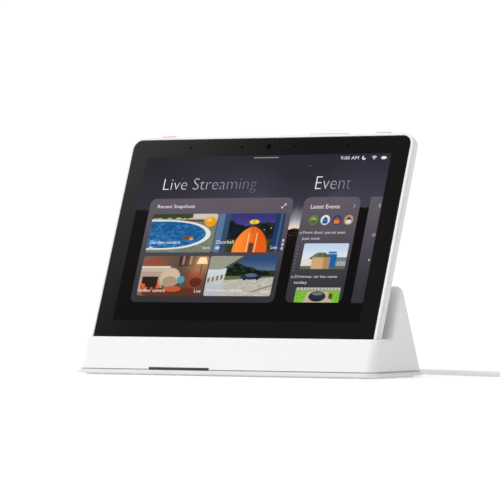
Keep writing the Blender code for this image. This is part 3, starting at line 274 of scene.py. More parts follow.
def carved(
    made: Object, cutters: Iterable[Object], operation: str = "DIFFERENCE"
) -> Object:
    """Cuts, joins or keeps the common part with each cutter, and removes the cutters.

    Args:
        made: The piece to carve.
        cutters: Closed bodies.
        operation: The Boolean's operation.

    Returns:
        The carved piece.
    """
    cutters = list(cutters)
    for cutter in cutters:
        cut = made.modifiers.new(cutter.name, "BOOLEAN")
        cut.operation, cut.solver, cut.object = operation, "EXACT", cutter
    settled(made)
    for cutter in cutters:
        bpy.data.objects.remove(cutter)
    made.data.set_sharp_from_angle(angle=math.radians(SHARP))
    return made


# ------------------------------------------------------------------ repeats


class Repeater:
    """A Geometry Nodes tree that sets copies of one item, and the plain mesh that it makes."""

    def __init__(self, name: str) -> None:
        """Starts a tree whose geometry input holds the points to set copies at.

        Args:
            name: The tree's name.
        """
        self.tree = bpy.data.node_groups.new(name, "GeometryNodeTree")
        self.socket("Geometry", "NodeSocketGeometry", "INPUT")
        self.socket("Geometry", "NodeSocketGeometry", "OUTPUT")
        self.inlet = self.tree.nodes.new("NodeGroupInput")
        self.outlet = self.tree.nodes.new("NodeGroupOutput")
        self.values: dict[str, object] = {}

    def socket(self, name: str, kind: str, side: str = "INPUT") -> str:
        """Adds a named socket and returns its identifier."""
        return self.tree.interface.new_socket(name, in_out=side, socket_type=kind).identifier

    def size(self, name: str, kind: str, value: object) -> NodeSocket:
        """Adds a named input with its value, and returns the socket that gives it inside the tree."""
        self.values[self.socket(name, kind)] = value
        return self.inlet.outputs[name]

    def node(self, kind: str, settings: dict[str, object] | None = None, **inputs: object) -> bpy.types.Node:
        """Adds a node.

        Args:
            kind: Its type.
            settings: Its own settings, which are set first.
            inputs: A value or a link for each named input, with underscores for spaces.

        Returns:
            The node.
        """
        made = self.tree.nodes.new(kind)
        for name, value in (settings or {}).items():
            setattr(made, name, value)
        for name, value in inputs.items():
            socket = next(s for s in made.inputs if s.name == name.replace("_", " ") and s.enabled)
            if isinstance(value, NodeSocket):
                self.tree.links.new(value, socket)
            else:
                socket.default_value = value
        return made

    def along(
        self, item: Object, count: int, start: Point, step: Point, last_scale: float = 1.0
    ) -> "Repeater":
        """Sets copies in a straight row.

        Args:
            item: What is copied.
            count: How many.
            start: Where the first one stands.
            step: The way from each to the next.
            last_scale: Scale of the last one.

        Returns:
            The repeater.
        """
        total = self.size("Count", "NodeSocketInt", count)
        line = self.node(
            "GeometryNodeMeshLine", {"mode": "OFFSET"}, Count=total,
            Start_Location=self.size("Start", "NodeSocketVector", [v * MM for v in start]),
            Offset=self.size("Pitch", "NodeSocketVector", [v * MM for v in step]),
        )
        last = self.node("ShaderNodeMath", {"operation": "SUBTRACT"})
        self.tree.links.new(total, last.inputs[0])
        last.inputs[1].default_value = 1.0
        share = self.node(
            "ShaderNodeMapRange", Value=self.node("GeometryNodeInputIndex").outputs[0],
            From_Max=last.outputs[0],
            To_Min=1.0, To_Max=self.size("Last scale", "NodeSocketFloat", last_scale),
        )
        return self.copies(item, line.outputs[0], share.outputs[0])

    def at_points(self, item: Object) -> "Repeater":
        """Sets a copy at each point of the geometry that the tree is given."""
        return self.copies(item, self.inlet.outputs["Geometry"], self.size("Scale", "NodeSocketFloat", 1.0))

    def copies(self, item: Object, points: NodeSocket, scale: NodeSocket) -> "Repeater":
        """Adds the nodes that set the copies, realise them and give them their finish.

        Args:
            item: What is copied.
            points: Where the copies stand.
            scale: The scale of each.

        Returns:
            The repeater.
        """
        shape = self.node("GeometryNodeObjectInfo", Object=self.size("Item", "NodeSocketObject", item))
        finish = self.size(
            "Finish", "NodeSocketMaterial", item.data.materials[0] if item.data.materials else None
        )
        instances = self.node(
            "GeometryNodeInstanceOnPoints", Points=points, Instance=shape.outputs["Geometry"], Scale=scale
        )
        real = self.node("GeometryNodeRealizeInstances", Geometry=instances.outputs[0])
        dressed = self.node("GeometryNodeSetMaterial", Geometry=real.outputs[0], Material=finish)
        self.tree.links.new(dressed.outputs[0], self.outlet.inputs[0])
        return self

    def build(
        self, name: str, points: Sequence[Point] = ((0, 0, 0),), matrix: Matrix | None = None
    ) -> Object:
        """Runs the tree once and keeps its mesh.

        Args:
            name: The new object's name.
            points: Points in millimetres for the tree's geometry input.
            matrix: The axes that the result is given in, in metres.

        Returns:
            The object, at the origin.
        """
        made = piece(name, (list(points), []), None)
        run = made.modifiers.new("repeat", "NODES")
        run.node_group = self.tree
        item = None
        for identifier, value in self.values.items():
            run[identifier] = value
            item = value if isinstance(value, Object) else item
        settled(made)
        if matrix:
            made.data.transform(matrix)
        if item:
            bpy.data.objects.remove(item)
        made.data.set_sharp_from_angle(angle=math.radians(SHARP))
        return made


# ------------------------------------------------------------------ finishes


class Value:
    """A shader socket that takes part in Python arithmetic, where each operation adds its Math node."""

    def __init__(self, graph: "Graph", output: NodeSocket) -> None:
        """Wraps an output socket."""
        self.graph, self.output = graph, output

    def math(self, operation: str, *others: "Value | float", swapped: bool = False) -> "Value":
        """This value and the others through a Math node."""
        values: list[Value | float] = [self, *others]
        return self.graph.add(
            "ShaderNodeMath", {"operation": operation}, *(values[::-1] if swapped else values)
        )

    def __add__(self, other: "Value | float") -> "Value":
        """Sum."""
        return self.math("ADD", other)

    def __sub__(self, other: "Value | float") -> "Value":
        """Difference."""
        return self.math("SUBTRACT", other)

    def __rsub__(self, other: float) -> "Value":
        """Difference from a number."""
        return self.math("SUBTRACT", other, swapped=True)

    def __mul__(self, other: "Value | float") -> "Value":
        """Product."""
        return self.math("MULTIPLY", other)

    def __truediv__(self, other: "Value | float") -> "Value":
        """Quotient."""
        return self.math("DIVIDE", other)

    def __rtruediv__(self, other: float) -> "Value":
        """Quotient of a number."""
        return self.math("DIVIDE", other, swapped=True)

    def __pow__(self, other: "Value | float") -> "Value":
        """Power."""
        return self.math("POWER", other)

    __radd__ = __add__
    __rmul__ = __mul__

    def ramp(self, low: float, high: float, start: float = 0.0, end: float = 1.0) -> "Value":
        """Maps the value smoothly.

        Args:
            low: The value that becomes start.
            high: The value that becomes end.
            start: The first result.
            end: The last result.

        Returns:
            The result.
        """
        return self.graph.add(
            "ShaderNodeMapRange", {"interpolation_type": "SMOOTHSTEP"}, self, low, high, start, end
        )


class Graph:
    """The nodes of a material or of the surround."""

    def __init__(self, name: str, surround: bool = False) -> None:
        """Starts a material with a Principled shader, or a surround with its Background.

        Args:
            name: Its name.
            surround: True for the surround.
        """
        self.owner = (bpy.data.worlds if surround else bpy.data.materials).new(name)
        self.owner.use_nodes = True
        self.tree = self.owner.node_tree
        self.shader = self.tree.nodes["Background" if surround else "Principled BSDF"]

    def add(
        self, kind: str, settings: dict[str, object] | None = None, *inputs: object, output: int | str = 0,
        **named: object
    ) -> Value:
        """Adds a node of any type.

        Args:
            kind: The node's type.
            settings: Its own settings, which are set first.
            inputs: Values or links of its enabled sockets, in order, with None for one that is left alone.
            output: The output that is wanted.
            named: Values or links by socket name.

        Returns:
            The output.
        """
        node = self.tree.nodes.new(kind)
        for name, value in (settings or {}).items():
            setattr(node, name, value)
        sockets = [s for s in node.inputs if s.enabled]
        pairs = list(zip(sockets, inputs)) + [
            (next(s for s in sockets if s.name == n), v) for n, v in named.items()
        ]
        for socket, value in pairs:
            self.join(value, socket)
        outputs = [s for s in node.outputs if s.enabled]
        return Value(self, outputs[output] if isinstance(output, int) else node.outputs[output])

    def join(self, value: object, socket: NodeSocket) -> None:
        """Links a value to a socket, or sets the socket's own number or colour.

        Args:
            value: A wrapped output, a number or a colour.
            socket: The socket.
        """
        if isinstance(value, Value):
            self.tree.links.new(value.output, socket)
        elif value is not None:
            room = getattr(socket, "default_value", ())
            wide = isinstance(value, tuple) and len(value) == 3 and len(room) == 4
            socket.default_value = (*value, 1) if wide else value

    def place(self, scale: Point = (1, 1, 1)) -> Value:
        """The point on the piece in metres, stretched by scale."""
        here = self.add("ShaderNodeTexCoord", output="Object")
        return here if scale == (1, 1, 1) else self.add("ShaderNodeMapping", None, here, Scale=scale)

    def across(self, direction: Point, origin: Point) -> Value:
        """Distance in millimetres along a direction from an origin in metres."""
        away = self.add("ShaderNodeVectorMath", {"operation": "SUBTRACT"}, self.place(), origin)
        dot = self.add("ShaderNodeVectorMath", {"operation": "DOT_PRODUCT"}, away, direction, output="Value")
        return dot / MM

    def noise(self, size: float, detail: float = 2.0, scale: Point = (1, 1, 1)) -> Value:
        """Noise whose features are about size millimetres across."""
        return self.add("ShaderNodeTexNoise", None, self.place(scale), Scale=1 / (size * MM), Detail=detail)

    def mix(self, share: Value | float, first: object, second: object) -> Value:
        """A colour between two, by share."""
        return self.add("ShaderNodeMix", {"data_type": "RGBA"}, share, first, second)

    def bump(self, height: Value, depth: float) -> Value:
        """A normal for a height from 0 to 1 that stands depth millimetres tall."""
        return self.add("ShaderNodeBump", None, Strength=1.0, Distance=depth * MM, Height=height)

    def done(self, **sockets: object) -> bpy.types.ID:
        """Sets or links the shader's sockets.

        Args:
            sockets: Values or links by socket name, with underscores for spaces.

        Returns:
            The material or the surround.
        """
        for name, value in sockets.items():
            self.join(value, self.shader.inputs[name.replace("_", " ")])
        return self.owner


@dataclass(frozen=True)
class MouldedPlastic:
    """Injection-moulded plastic with a fine spark-eroded grain."""

    name: str
    colour: Colour
    roughness: float = 0.42
    grain: float = 0.35
    depth: float = 0.012
    mottle: float = 0.03
    ior: float = 1.47

    def build(self) -> Material:
        """Makes the material.

        Returns:
            The material.
        """
        g = Graph(self.name)
        flow = g.noise(34, 3)
        fine = g.noise(self.grain, 2)
        shade = g.mix(
            (flow - 0.5) * self.mottle * 4 + 0.5, tuple(c * (1 - self.mottle) for c in self.colour),
            self.colour
        )
        rough = self.roughness + (flow - 0.5) * 0.10 + (fine - 0.5) * 0.08
        return g.done(Base_Color=shade, Roughness=rough, Normal=g.bump(fine, self.depth), IOR=self.ior)


@dataclass(frozen=True)
class CastRubber:
    """Matt elastomer with a sparse dimple."""

    name: str
    colour: Colour

    def build(self) -> Material:
        """Makes the material.

        Returns:
            The material.
        """
        g = Graph(self.name)
        dust = g.noise(6, 4)
        cell = g.add("ShaderNodeTexVoronoi", {"feature": "SMOOTH_F1"}, g.place(), Scale=1 / (1.1 * MM))
        shade = g.mix(dust.ramp(0.45, 0.75), self.colour, tuple(c * 1.25 for c in self.colour))
        return g.done(Base_Color=shade, Roughness=0.78 + (dust - 0.5) * 0.2, Normal=g.bump(cell, 0.06))


@dataclass(frozen=True)
class Metal:
    """Plain, brushed or plated metal, with brush lines across one axis."""

    name: str
    colour: Colour
    roughness: float = 0.3
    brush: Point = (1, 12, 1)
    depth: float = 0.004

    def build(self) -> Material:
        """Makes the material.

        Returns:
            The material.
        """
        g = Graph(self.name)
        lines = g.noise(0.5, 3, self.brush)
        tarnish = g.noise(7, 3)
        shade = g.mix(tarnish.ramp(0.5, 0.8), self.colour, tuple(c * 0.82 for c in self.colour))
        return g.done(
            Base_Color=shade, Metallic=1.0,
            Roughness=self.roughness + (lines - 0.5) * 0.2 + (tarnish - 0.5) * 0.12,
            Normal=g.bump(lines, self.depth),
        )


@dataclass(frozen=True)
class Woven:
    """Fine diagonal weave, as of a knitted lining."""

    name: str
    colour: Colour
    pitch: float = 1.3

    def build(self) -> Material:
        """Makes the material.

        Returns:
            The material.
        """
        g = Graph(self.name)
        place = g.place()
        turned_place = g.add("ShaderNodeMapping", None, place, Rotation=(0.0, math.radians(45), 0.0))
        warp, weft = (
            g.add(
                "ShaderNodeTexWave", {"wave_type": "BANDS", "bands_direction": way}, turned_place,
                Scale=0.314 / (self.pitch * MM)
            )
            for way in ("X", "Z")
        )
        weave = warp * weft
        shade = g.mix(weave, tuple(c * 0.86 for c in self.colour), self.colour)
        return g.done(Base_Color=shade, Roughness=0.85 - weave * 0.1, Normal=g.bump(weave, 0.12))


@dataclass(frozen=True)
class CoverGlass:
    """Black-backed cover glass with a trace of handling marks."""

    name: str
    colour: Colour = (0.0042, 0.0044, 0.0048)

    def build(self) -> Material:
        """Makes the material.

        Returns:
            The material.
        """
        g = Graph(self.name)
        smear = g.noise(22, 5, (1, 1, 2.4)).ramp(0.52, 0.8)
        return g.done(Base_Color=self.colour, Roughness=0.025 + smear * 0.03, IOR=1.5)


@dataclass(frozen=True)
class LitPicture:
    """What the display shows under its glass: the colour that each point of the picture carries."""

    name: str
    strength: float = 1.0

    def build(self) -> Material:
        """Makes the material.

        Returns:
            The material.
        """
        g = Graph(self.name)
        tint = g.add("ShaderNodeAttribute", {"attribute_name": "tint"}, output="Color")
        return g.done(
            Base_Color=(0.002, 0.002, 0.002), Emission_Color=tint, Emission_Strength=self.strength,
            Roughness=0.03,
            IOR=1.2
        )


@dataclass(frozen=True)
class NightSky:
    """The display's wallpaper: a starry dusk sky that ends in a low glow over dark land."""

    name: str
    high: Colour = (0.024, 0.023, 0.034)
    low: Colour = (0.047, 0.046, 0.074)
    glow: Colour = (0.95, 0.72, 0.58)
    haze: Colour = (0.42, 0.42, 0.52)
    land: Colour = (0.0034, 0.0026, 0.0028)
    horizon: float = 5.0
    side_horizon: float = 19.0
    glow_x: float = 29.0

    def build(self, axes: Matrix) -> Material:
        """Makes the material.

        Args:
            axes: The display's axes.

        Returns:
            The material.
        """
        g = Graph(self.name)
        origin = tuple(axes.translation)
        x = g.across(tuple(axes.col[0][:3]), origin)
        y = g.across(tuple(axes.col[1][:3]), origin)
        ridge = g.noise(16, 4, (1, 0.1, 0.1))
        aside = (x - self.glow_x).math("ABSOLUTE")
        edge = aside.ramp(2, 36, self.horizon, self.side_horizon) + (ridge - 0.5) * 5
        above = y - edge - (g.noise(2.5, 3, (1, 0.1, 0.1)) - 0.5) * 3
        sky = g.mix(above.ramp(0, 38), self.low, self.high)
        cloud = g.noise(30, 4, (0.35, 1, 1)).ramp(0.45, 0.75)
        sky = g.mix(cloud * 0.2, sky, (0.06, 0.062, 0.085))
        sky = g.mix(x.ramp(0, -84) * 0.6, sky, (0.010, 0.010, 0.014))
        near = (((x - self.glow_x) / 17) ** 2 * -1).math("EXPONENT")
        sky = g.mix(above.ramp(16, -1) * near, sky, self.haze)
        sky = g.mix(above.ramp(7, -2) * near, sky, self.glow)
        cell = g.add("ShaderNodeTexVoronoi", {"feature": "F1"}, g.place(), Scale=1 / (5.2 * MM))
        star = cell.ramp(0.075, 0.03) * g.noise(9, 1).ramp(0.45, 0.62)
        sky = g.mix(star * 0.8 * above.ramp(2, 12), sky, (0.3, 0.3, 0.36))
        streak = g.noise(3, 2, (0.2, 0.2, 6)).ramp(0.5, 0.8)
        land = g.mix(streak * near * above.ramp(-16, -3), self.land, (0.10, 0.045, 0.022))
        return g.done(
            Base_Color=(0.002, 0.002, 0.002), Emission_Color=g.mix(above.ramp(-0.4, 0.4), land, sky),
            Emission_Strength=1.0, Roughness=0.03, IOR=1.2,
        )


@dataclass(frozen=True)
class CircuitBoard:
    """Solder mask over copper tracks and pads."""

    name: str

    def build(self) -> Material:
        """Makes the material.

        Returns:
            The material.
        """
        g = Graph(self.name)
        cell = g.add(
            "ShaderNodeTexVoronoi", {"feature": "F1", "distance": "MANHATTAN"}, g.place(),
            Scale=1 / (2.2 * MM)
        )
        track = g.add("ShaderNodeTexBrick", None, g.place(), Scale=1 / (9 * MM), output="Fac")
        mask = g.mix(track, (0.010, 0.085, 0.045), (0.02, 0.16, 0.085))
        pad = cell.ramp(0.2, 0.16)
        return g.done(
            Base_Color=g.mix(pad, mask, (0.75, 0.62, 0.38)), Metallic=pad * 0.9, Roughness=0.45 - pad * 0.15,
            Normal=g.bump(track + pad, 0.03),
        )


@dataclass(frozen=True)
class ShrinkWrap:
    """Printed film round a battery cell, with shallow wrinkles."""

    name: str
    colour: Colour = (0.05, 0.055, 0.07)

    def build(self) -> Material:
        """Makes the material.

        Returns:
            The material.
        """
        g = Graph(self.name)
        crease = g.noise(9, 5, (0.4, 1, 1))
        return g.done(
            Base_Color=g.mix(crease.ramp(0.5, 0.7), self.colour, (0.09, 0.095, 0.12)),
            Roughness=0.3 + (crease - 0.5) * 0.3, Normal=g.bump(crease, 0.25),
        )


class Finish(Enum):
    """Every finish of the hub except the wallpaper, which needs the display's axes."""

    SHELL = MouldedPlastic("dock_white", (0.88, 0.88, 0.885), 0.40, mottle=0.012)
    CASE = MouldedPlastic("tablet_white", (0.87, 0.87, 0.875), 0.44, mottle=0.012)
    PLATE = MouldedPlastic("plate_white", (0.80, 0.80, 0.805), 0.48, mottle=0.015)
    RED = MouldedPlastic("signal_red", (0.72, 0.030, 0.034), 0.45)
    PLUG = MouldedPlastic("plug_white", (0.82, 0.82, 0.82), 0.38, 0.5, 0.01)
    JACKET = MouldedPlastic("lead_jacket", (0.84, 0.84, 0.845), 0.46, 0.6, 0.02, 0.04)
    BLACK = MouldedPlastic("black_nylon", (0.018, 0.018, 0.019), 0.5, 0.4, 0.02)
    SMOKE = MouldedPlastic("smoked_acrylic", (0.035, 0.036, 0.040), 0.12, 0.8, 0.002)
    WINDOW = MouldedPlastic("sensor_window", (0.006, 0.006, 0.007), 0.1, 0.8, 0.001, ior=1.38)
    # Flat black for the sensor spots, and painted shade for the microphone holes, which are drawn as discs
    # rather than cut.
    SENSOR_BLACK_AND_HOLE_SHADE = MouldedPlastic("dark_hole", (0.001, 0.001, 0.001), 0.7, 0.8, 0.001, ior=1.1)
    BAND = MouldedPlastic("tie_band", (0.72, 0.72, 0.73), 0.7, 0.5, 0.05)
    LINING = Woven("support_lining", (0.90, 0.90, 0.905))
    # Painted light: the pad's grey rubber is made near white so that the shade in the gap under the plate
    # reads lighter.
    RUBBER = CastRubber("pad_rubber", (0.82, 0.82, 0.825))
    # Painted shade: the keys are the case white, darkened here so that the keys on the top edge read as if in
    # shade.
    KEY = MouldedPlastic("key_grey", (0.64, 0.64, 0.65), 0.5)
    STEEL = Metal("sheet_steel", (0.62, 0.62, 0.63), 0.34)
    SCREW = Metal("zinc_screw", (0.66, 0.67, 0.68), 0.26, (1, 1, 1))
    NICKEL = Metal("nickel_shell", (0.74, 0.73, 0.70), 0.2, (1, 6, 1), 0.002)
    GOLD = Metal("gold_plate", (0.92, 0.66, 0.28), 0.22, (1, 1, 1), 0.002)
    GLASS = CoverGlass("cover_glass_black")
    LENS = MouldedPlastic("lens_glass", (0.0008, 0.0009, 0.002), 0.08, 0.8, 0.001, ior=1.14)
    PICTURE = LitPicture("lit_picture")
    BOARD = CircuitBoard("board_green")
    CELL = ShrinkWrap("cell_film")

    @property
    def material(self) -> Material:
        """The finish's material, made on its first use."""
        return bpy.data.materials.get(self.value.name) or self.value.build()


def settle(made: Object, body: str, slot: str, *stands_for: str) -> Object:
    """Makes a finished piece ride on its body and stand for its CAD nodes.

    Args:
        made: The piece.
        body: The CAD body that it moves with.
        slot: The record's material slot; not used.
        stands_for: The CAD nodes that it replaces.

    Returns:
        The piece.
    """
    if made.type == "MESH":
        made.modifiers.new("even_shading", "WEIGHTED_NORMAL").keep_sharp = True
        settled(made)
    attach(made, body)
    if stands_for:
        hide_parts(*stands_for)
    LOG.info("%s: %d faces on %s", made.name, len(getattr(made.data, "polygons", ())), body)
    return made


# ------------------------------------------------------------------ studio


@dataclass
class Studio:
    """Camera, soft light and a plain white floor."""

    look_at: Point = (0, 2.95, 83.0)
    azimuth: float = 30.835
    elevation: float = -0.392
    distance: float = 2225.8
    lens: float = 265.64
    shift: Pair = (-0.00084, -0.0250)
    floor_side: float = 60.0
    floor_tint: float = 0.60
    floor_glow: float = 0.39
    dark_way: Point = (-0.512, -0.622, 0.592)
    dark_edge_way: Point = (-0.641, 0.734, 0.220)
    glossy_light: float = 0.85
    glossy_dark: float = 0.14
    soft_light: float = 0.50
    seen_light: float = 1.05

    def camera(self) -> None:
        """Sets up the camera, which looks up a little from near the table's height."""
        a, e = math.radians(self.azimuth), math.radians(self.elevation)
        back = Vector((math.sin(a) * math.cos(e), -math.cos(a) * math.cos(e), math.sin(e)))
        data = bpy.data.cameras.new("studio_camera")
        data.lens, data.sensor_width = self.lens, 36.0
        data.shift_x, data.shift_y = self.shift
        data.clip_start, data.clip_end = 0.05, 200.0
        camera = bpy.data.objects.new("studio_camera", data)
        bpy.context.scene.collection.objects.link(camera)
        camera.rotation_mode = "QUATERNION"
        camera.location = (Vector(self.look_at) + back * self.distance) * MM
        camera.rotation_quaternion = (-back).to_track_quat("-Z", "Y")
        bpy.context.scene.camera = camera

    def light(
        self, name: str, kind: str, energy: float, towards: Point, size: float, place: Point = (0, 0, 2)
    ) -> None:
        """Adds one light.

        Args:
            name: Its name.
            kind: SUN or AREA.
            energy: Its strength.
            towards: The direction that it shines in.
            size: A sun's angle in degrees, or an area light's side in metres.
            place: Where it stands, in metres.
        """
        data = bpy.data.lights.new(name, kind)
        data.energy = energy
        if kind == "SUN":
            data.angle = math.radians(size)
        else:
            data.size = size
        light = bpy.data.objects.new(name, data)
        bpy.context.scene.collection.objects.link(light)
        light.location = place
        light.rotation_mode = "QUATERNION"
        light.rotation_quaternion = Vector(towards).to_track_quat("-Z", "Y")
        light.visible_glossy = False

    def surround(self) -> None:
        """A white surround, with a darker part of the room for polished surfaces to reflect."""
        g = Graph("studio_surround", surround=True)
        way = g.add("ShaderNodeTexCoord", output="Generated")
        near, slant = (
            g.add("ShaderNodeVectorMath", {"operation": "DOT_PRODUCT"}, way, direction, output="Value")
            for direction in (self.dark_way, self.dark_edge_way)
        )
        patch = g.add("ShaderNodeMapRange", None, near, 0.80, 0.94, 0.0, 1.0)
        dark = patch * slant.ramp(0.005, 0.052, 1.0, 0.0)
        glossy = g.add("ShaderNodeMapRange", None, dark, 0.0, 1.0, self.glossy_light, self.glossy_dark)
        is_glossy, is_seen = (
            g.add("ShaderNodeLightPath", output=f"Is {kind} Ray") for kind in ("Glossy", "Camera")
        )
        soft = g.add("ShaderNodeMix", None, is_glossy, self.soft_light, glossy)
        seen = g.add("ShaderNodeMix", None, is_seen, soft, self.seen_light)
        bpy.context.scene.world = g.done(Strength=seen, Color=(1, 1, 1, 1))

    def floor(self) -> None:
        """A plain white table top that runs on to the horizon."""
        finish = Graph("studio_floor").done(
            Base_Color=(self.floor_tint,) * 3, Roughness=0.5, IOR=1.35,
            Emission_Color=(self.floor_glow,) * 3, Emission_Strength=1.0,
        )
        side = self.floor_side / 2 / MM
        top = [(-side, -side, 0), (side, -side, 0), (side, side, 0), (-side, side, 0)]
        piece("studio_floor", (top, [(0, 1, 2, 3)]), finish, sheet=True)

    def build(self) -> None:
        """Builds the whole studio."""
        self.camera()
        self.surround()
        self.floor()
        self.light("overhead", "SUN", 2.1, (0.42, 0.16, -0.9), 70)
        self.light("front_left", "AREA", 1.5, (0.72, 0.66, -0.25), 0.9, (-0.95, -0.85, 0.42))
        bpy.context.scene.view_settings.view_transform = "Standard"


# ------------------------------------------------------------------ power lead


@dataclass
class PowerLead:
    """The USB lead: plug in the dock's rear, run to a round coil with its tie, and the far plug."""

    radius: float = 1.7
    length: float = 1500.0
    lift: float = 0.05
    start: Point = (0.0, 52.03, 10.5)
    coil_centre: Pair = (170.0, 66.1)
    outer_turn: float = 22.1
    layers: tuple[Face, ...] = ((0, 1, 2), (2, 1, 0), (0, 1, 2), (1, 0))
    crossing: Pair = (0.86, 0.14)
    leaving: Pair = (0.80, 0.37)
    step: float = 3.2
    plug_size: Point = (12.2, 16.0, 6.4)
    far_size: Point = (15.4, 20.0, 7.6)
    far_start: Pair = (203.0, 72.0)
    far_shell: Point = (12.0, 14.0, 4.5)
    relief_length: float = 9.0
    relief_radius: float = 2.5
    tie_width: float = 8.0

    @property
    def pitch(self) -> float:
        """Distance between neighbouring turns."""
        return 2 * self.radius + 0.02

    def run_points(self) -> list[Vector]:
        """Lays the cable from the dock's plug down to the table and along it to the coil.

        Returns:
            The route's points.
        """
        y, z, rest = self.start[1], self.start[2], self.radius + self.lift
        return [Vector(p) for p in (
            (0, y, z), (0, y + 3, z - 0.1), (0.8, y + 8, z - 1.3), (4, y + 15, 5.9), (11, 77.4, 3.1),
            (22, 80.6, rest + 0.3), (36, 80.6, rest), (56, 77.2, rest), (80, 70.6, rest), (104, 61.6, rest),
            (124, 53.4, rest), (143, 46.6, rest), (157.2, 44.0, rest),
        )]

    def coil_points(self) -> list[Vector]:
        """Lays the turns side by side and layer on layer, then down the outside to the table.

        Returns:
            The coil's points.
        """
        rest = self.radius + self.lift
        seats = [
            (self.outer_turn - column * self.pitch, rest + layer * self.pitch)
            for layer, columns in enumerate(self.layers) for column in columns
        ]
        steps, points = 40, []
        for turn, (radius, height) in enumerate(seats):
            after = seats[min(turn + 1, len(seats) - 1)]
            for step in range(steps):
                share = max(0.0, (step / steps - self.crossing[0]) / self.crossing[1])
                share = share * share * (3 - 2 * share)
                if turn == len(seats) - 1:
                    share, down = 0.0, max(0.0, (step / steps - self.leaving[0]) / self.leaving[1])
                else:
                    down = 0.0
                points.append(self.on_coil(
                    step / steps, radius + (after[0] - radius) * share, height + (after[1] - height) * share,
                    down
                ))
        for step in range(7):
            share = (step / steps + 1 - self.leaving[0]) / self.leaving[1]
            points.append(self.on_coil(step / steps, seats[-1][0], seats[-1][1], min(share, 1.0)))
        return points

    def on_coil(self, turn: float, radius: float, height: float, down: float) -> Vector:
        """A point of the coil.

        Args:
            turn: Share of a turn since the coil's front.
            radius: Radius of the turn there.
            height: Height of the turn there.
            down: How far the cable has left its seat, from 0, in it, to 1, on the table beside the coil.

        Returns:
            The point.
        """
        ease = down * down * (3 - 2 * down)
        angle = math.tau * turn - math.pi / 2
        out = radius + self.pitch * min(1.0, 2.5 * ease)
        low = self.radius + self.lift
        return Vector((
            self.coil_centre[0] + out * math.cos(angle), self.coil_centre[1] + out * math.sin(angle),
            height + (low - height) * ease,
        ))

    def tail_points(self) -> list[Vector]:
        """Lays the short stretch from the coil to the far plug's relief.

        Returns:
            The route's points.
        """
        x, y = self.far_start
        rest = self.radius + self.lift
        return [Vector(p) for p in (
            (196.2, 56.2, rest), (199.8, 60.2, rest + 0.3), (202.2, 65.2, rest + 1.0),
            (x, y - 0.3, self.far_size[2] / 2 + 0.1),
        )]

    def line(self) -> list[Vector]:
        """Runs one smooth line through the whole route.

        Returns:
            The centreline's points.
        """
        route = self.run_points()[:-1] + self.coil_points() + self.tail_points()
        ends = [route[0] * 2 - route[1], *route, route[-1] * 2 - route[-2]]
        points = []
        for a, b, c, d in zip(ends, ends[1:], ends[2:], ends[3:]):
            count = max(1, round((c - b).length / self.step))
            for step in range(count):
                t = step / count
                square, cube = (2 * a - 5 * b + 4 * c - d) * t ** 2, (3 * b - a - 3 * c + d) * t ** 3
                points.append(0.5 * (2 * b + (c - a) * t + square + cube))
        points.append(route[-1])
        return points

    def cable(self) -> Object:
        """Makes the cable itself as one curve.

        Returns:
            The cable.
        """
        points = self.line()
        curve = bpy.data.curves.new("lead_cable", "CURVE")
        curve.dimensions = "3D"
        spline = curve.splines.new("POLY")
        spline.points.add(len(points) - 1)
        for slot, point in zip(spline.points, points):
            slot.co = (*(point * MM), 1.0)
        spline.use_smooth = True
        curve.bevel_depth = self.radius * MM
        curve.bevel_resolution = 6
        curve.use_fill_caps = True
        curve.materials.append(Finish.JACKET.material)
        made = bpy.data.objects.new("lead_cable", curve)
        bpy.context.scene.collection.objects.link(made)
        return made

    def plug_rows(self, size: Point) -> Solid:
        """A moulded plug body with soft edges and a waist, from 0 along +Y.

        Args:
            size: Width, length and height.

        Returns:
            The body.
        """
        wide, long, tall = size
        rows = []
        for y, inset in (
            (0, 0.7), (0.15, 0.32), (0.45, 0.08), (0.9, 0), (long - 3.4, 0), (long - 2.2, 0.15),
            (long - 1.0, 0.6),
            (long - 0.3, 1.15), (long, 1.7),
        ):
            outline = rounded(wide - 2 * inset, tall - 2 * inset * 0.8, tall / 2 - 1 - inset * 0.4, steps=8)
            rows.append([(x, y, z) for x, z in outline])
        return lofted(rows)

    def relief(self, length: float) -> Solid:
        """The tapered sleeve that the cable leaves through, from 0 along +Y.

        Args:
            length: Its length.

        Returns:
            The sleeve.
        """
        end = self.radius + 0.28
        profile = [(0, -0.4), (self.relief_radius, -0.4)]
        profile += [
            (self.relief_radius + (end - self.relief_radius) * t, length * t) for t in np.linspace(0, 1, 6)
        ]
        profile += [(end - 0.2, length + 0.05), (0, length + 0.05)]
        return moved(turned(profile[::-1], 28), ALONG_Y)

    def ribs(self, name: str, start: float, length: float) -> Object:
        """The relief's ribs, each a ring a little smaller than the one before.

        Args:
            name: Their name.
            start: Where the sleeve starts.
            length: The sleeve's length.

        Returns:
            The ribs.
        """
        half = [(-self.relief_radius, 0.45), (-0.2, 0.45), (0.22, 0.3), (0.3, 0)]
        profile = [(self.relief_radius + out, y) for out, y in half + [(out, -y) for out, y in half[-2::-1]]]
        ring = turned(profile, 28)
        item = piece(name + "_rib", moved(ring, ALONG_Y), Finish.PLUG.material)
        count = 5
        step = (length - 2.0) / (count - 1)
        last = (self.radius + 0.5) / (self.relief_radius + 0.25)
        return Repeater(name).along(item, count, (0, start + 1.0, 0), (0, step, 0), last).build(name)

    def plug(self, name: str, size: Point, place: Matrix) -> Object:
        """Makes a plug's body, relief and ribs as one piece.

        Args:
            name: Its name.
            size: Width, length and height of its body.
            place: Where it goes, in metres.

        Returns:
            The plug.
        """
        body = piece(name, self.plug_rows(size), Finish.PLUG.material)
        grip = [
            piece(
                "grip", block((0.5, 5.0, 0.6), (x, size[1] * 0.45, side * size[2] / 2), 0.24, steps=3), None
            )
            for side in (1, -1) for x in np.linspace(-3, 3, 5)
        ]
        carved(body, grip)
        sleeve = piece("sleeve", shifted(self.relief(self.relief_length), y=size[1]), Finish.PLUG.material)
        carved(body, [sleeve, self.ribs("ribs", size[1], self.relief_length)], "UNION")
        body.data.transform(place)
        return body

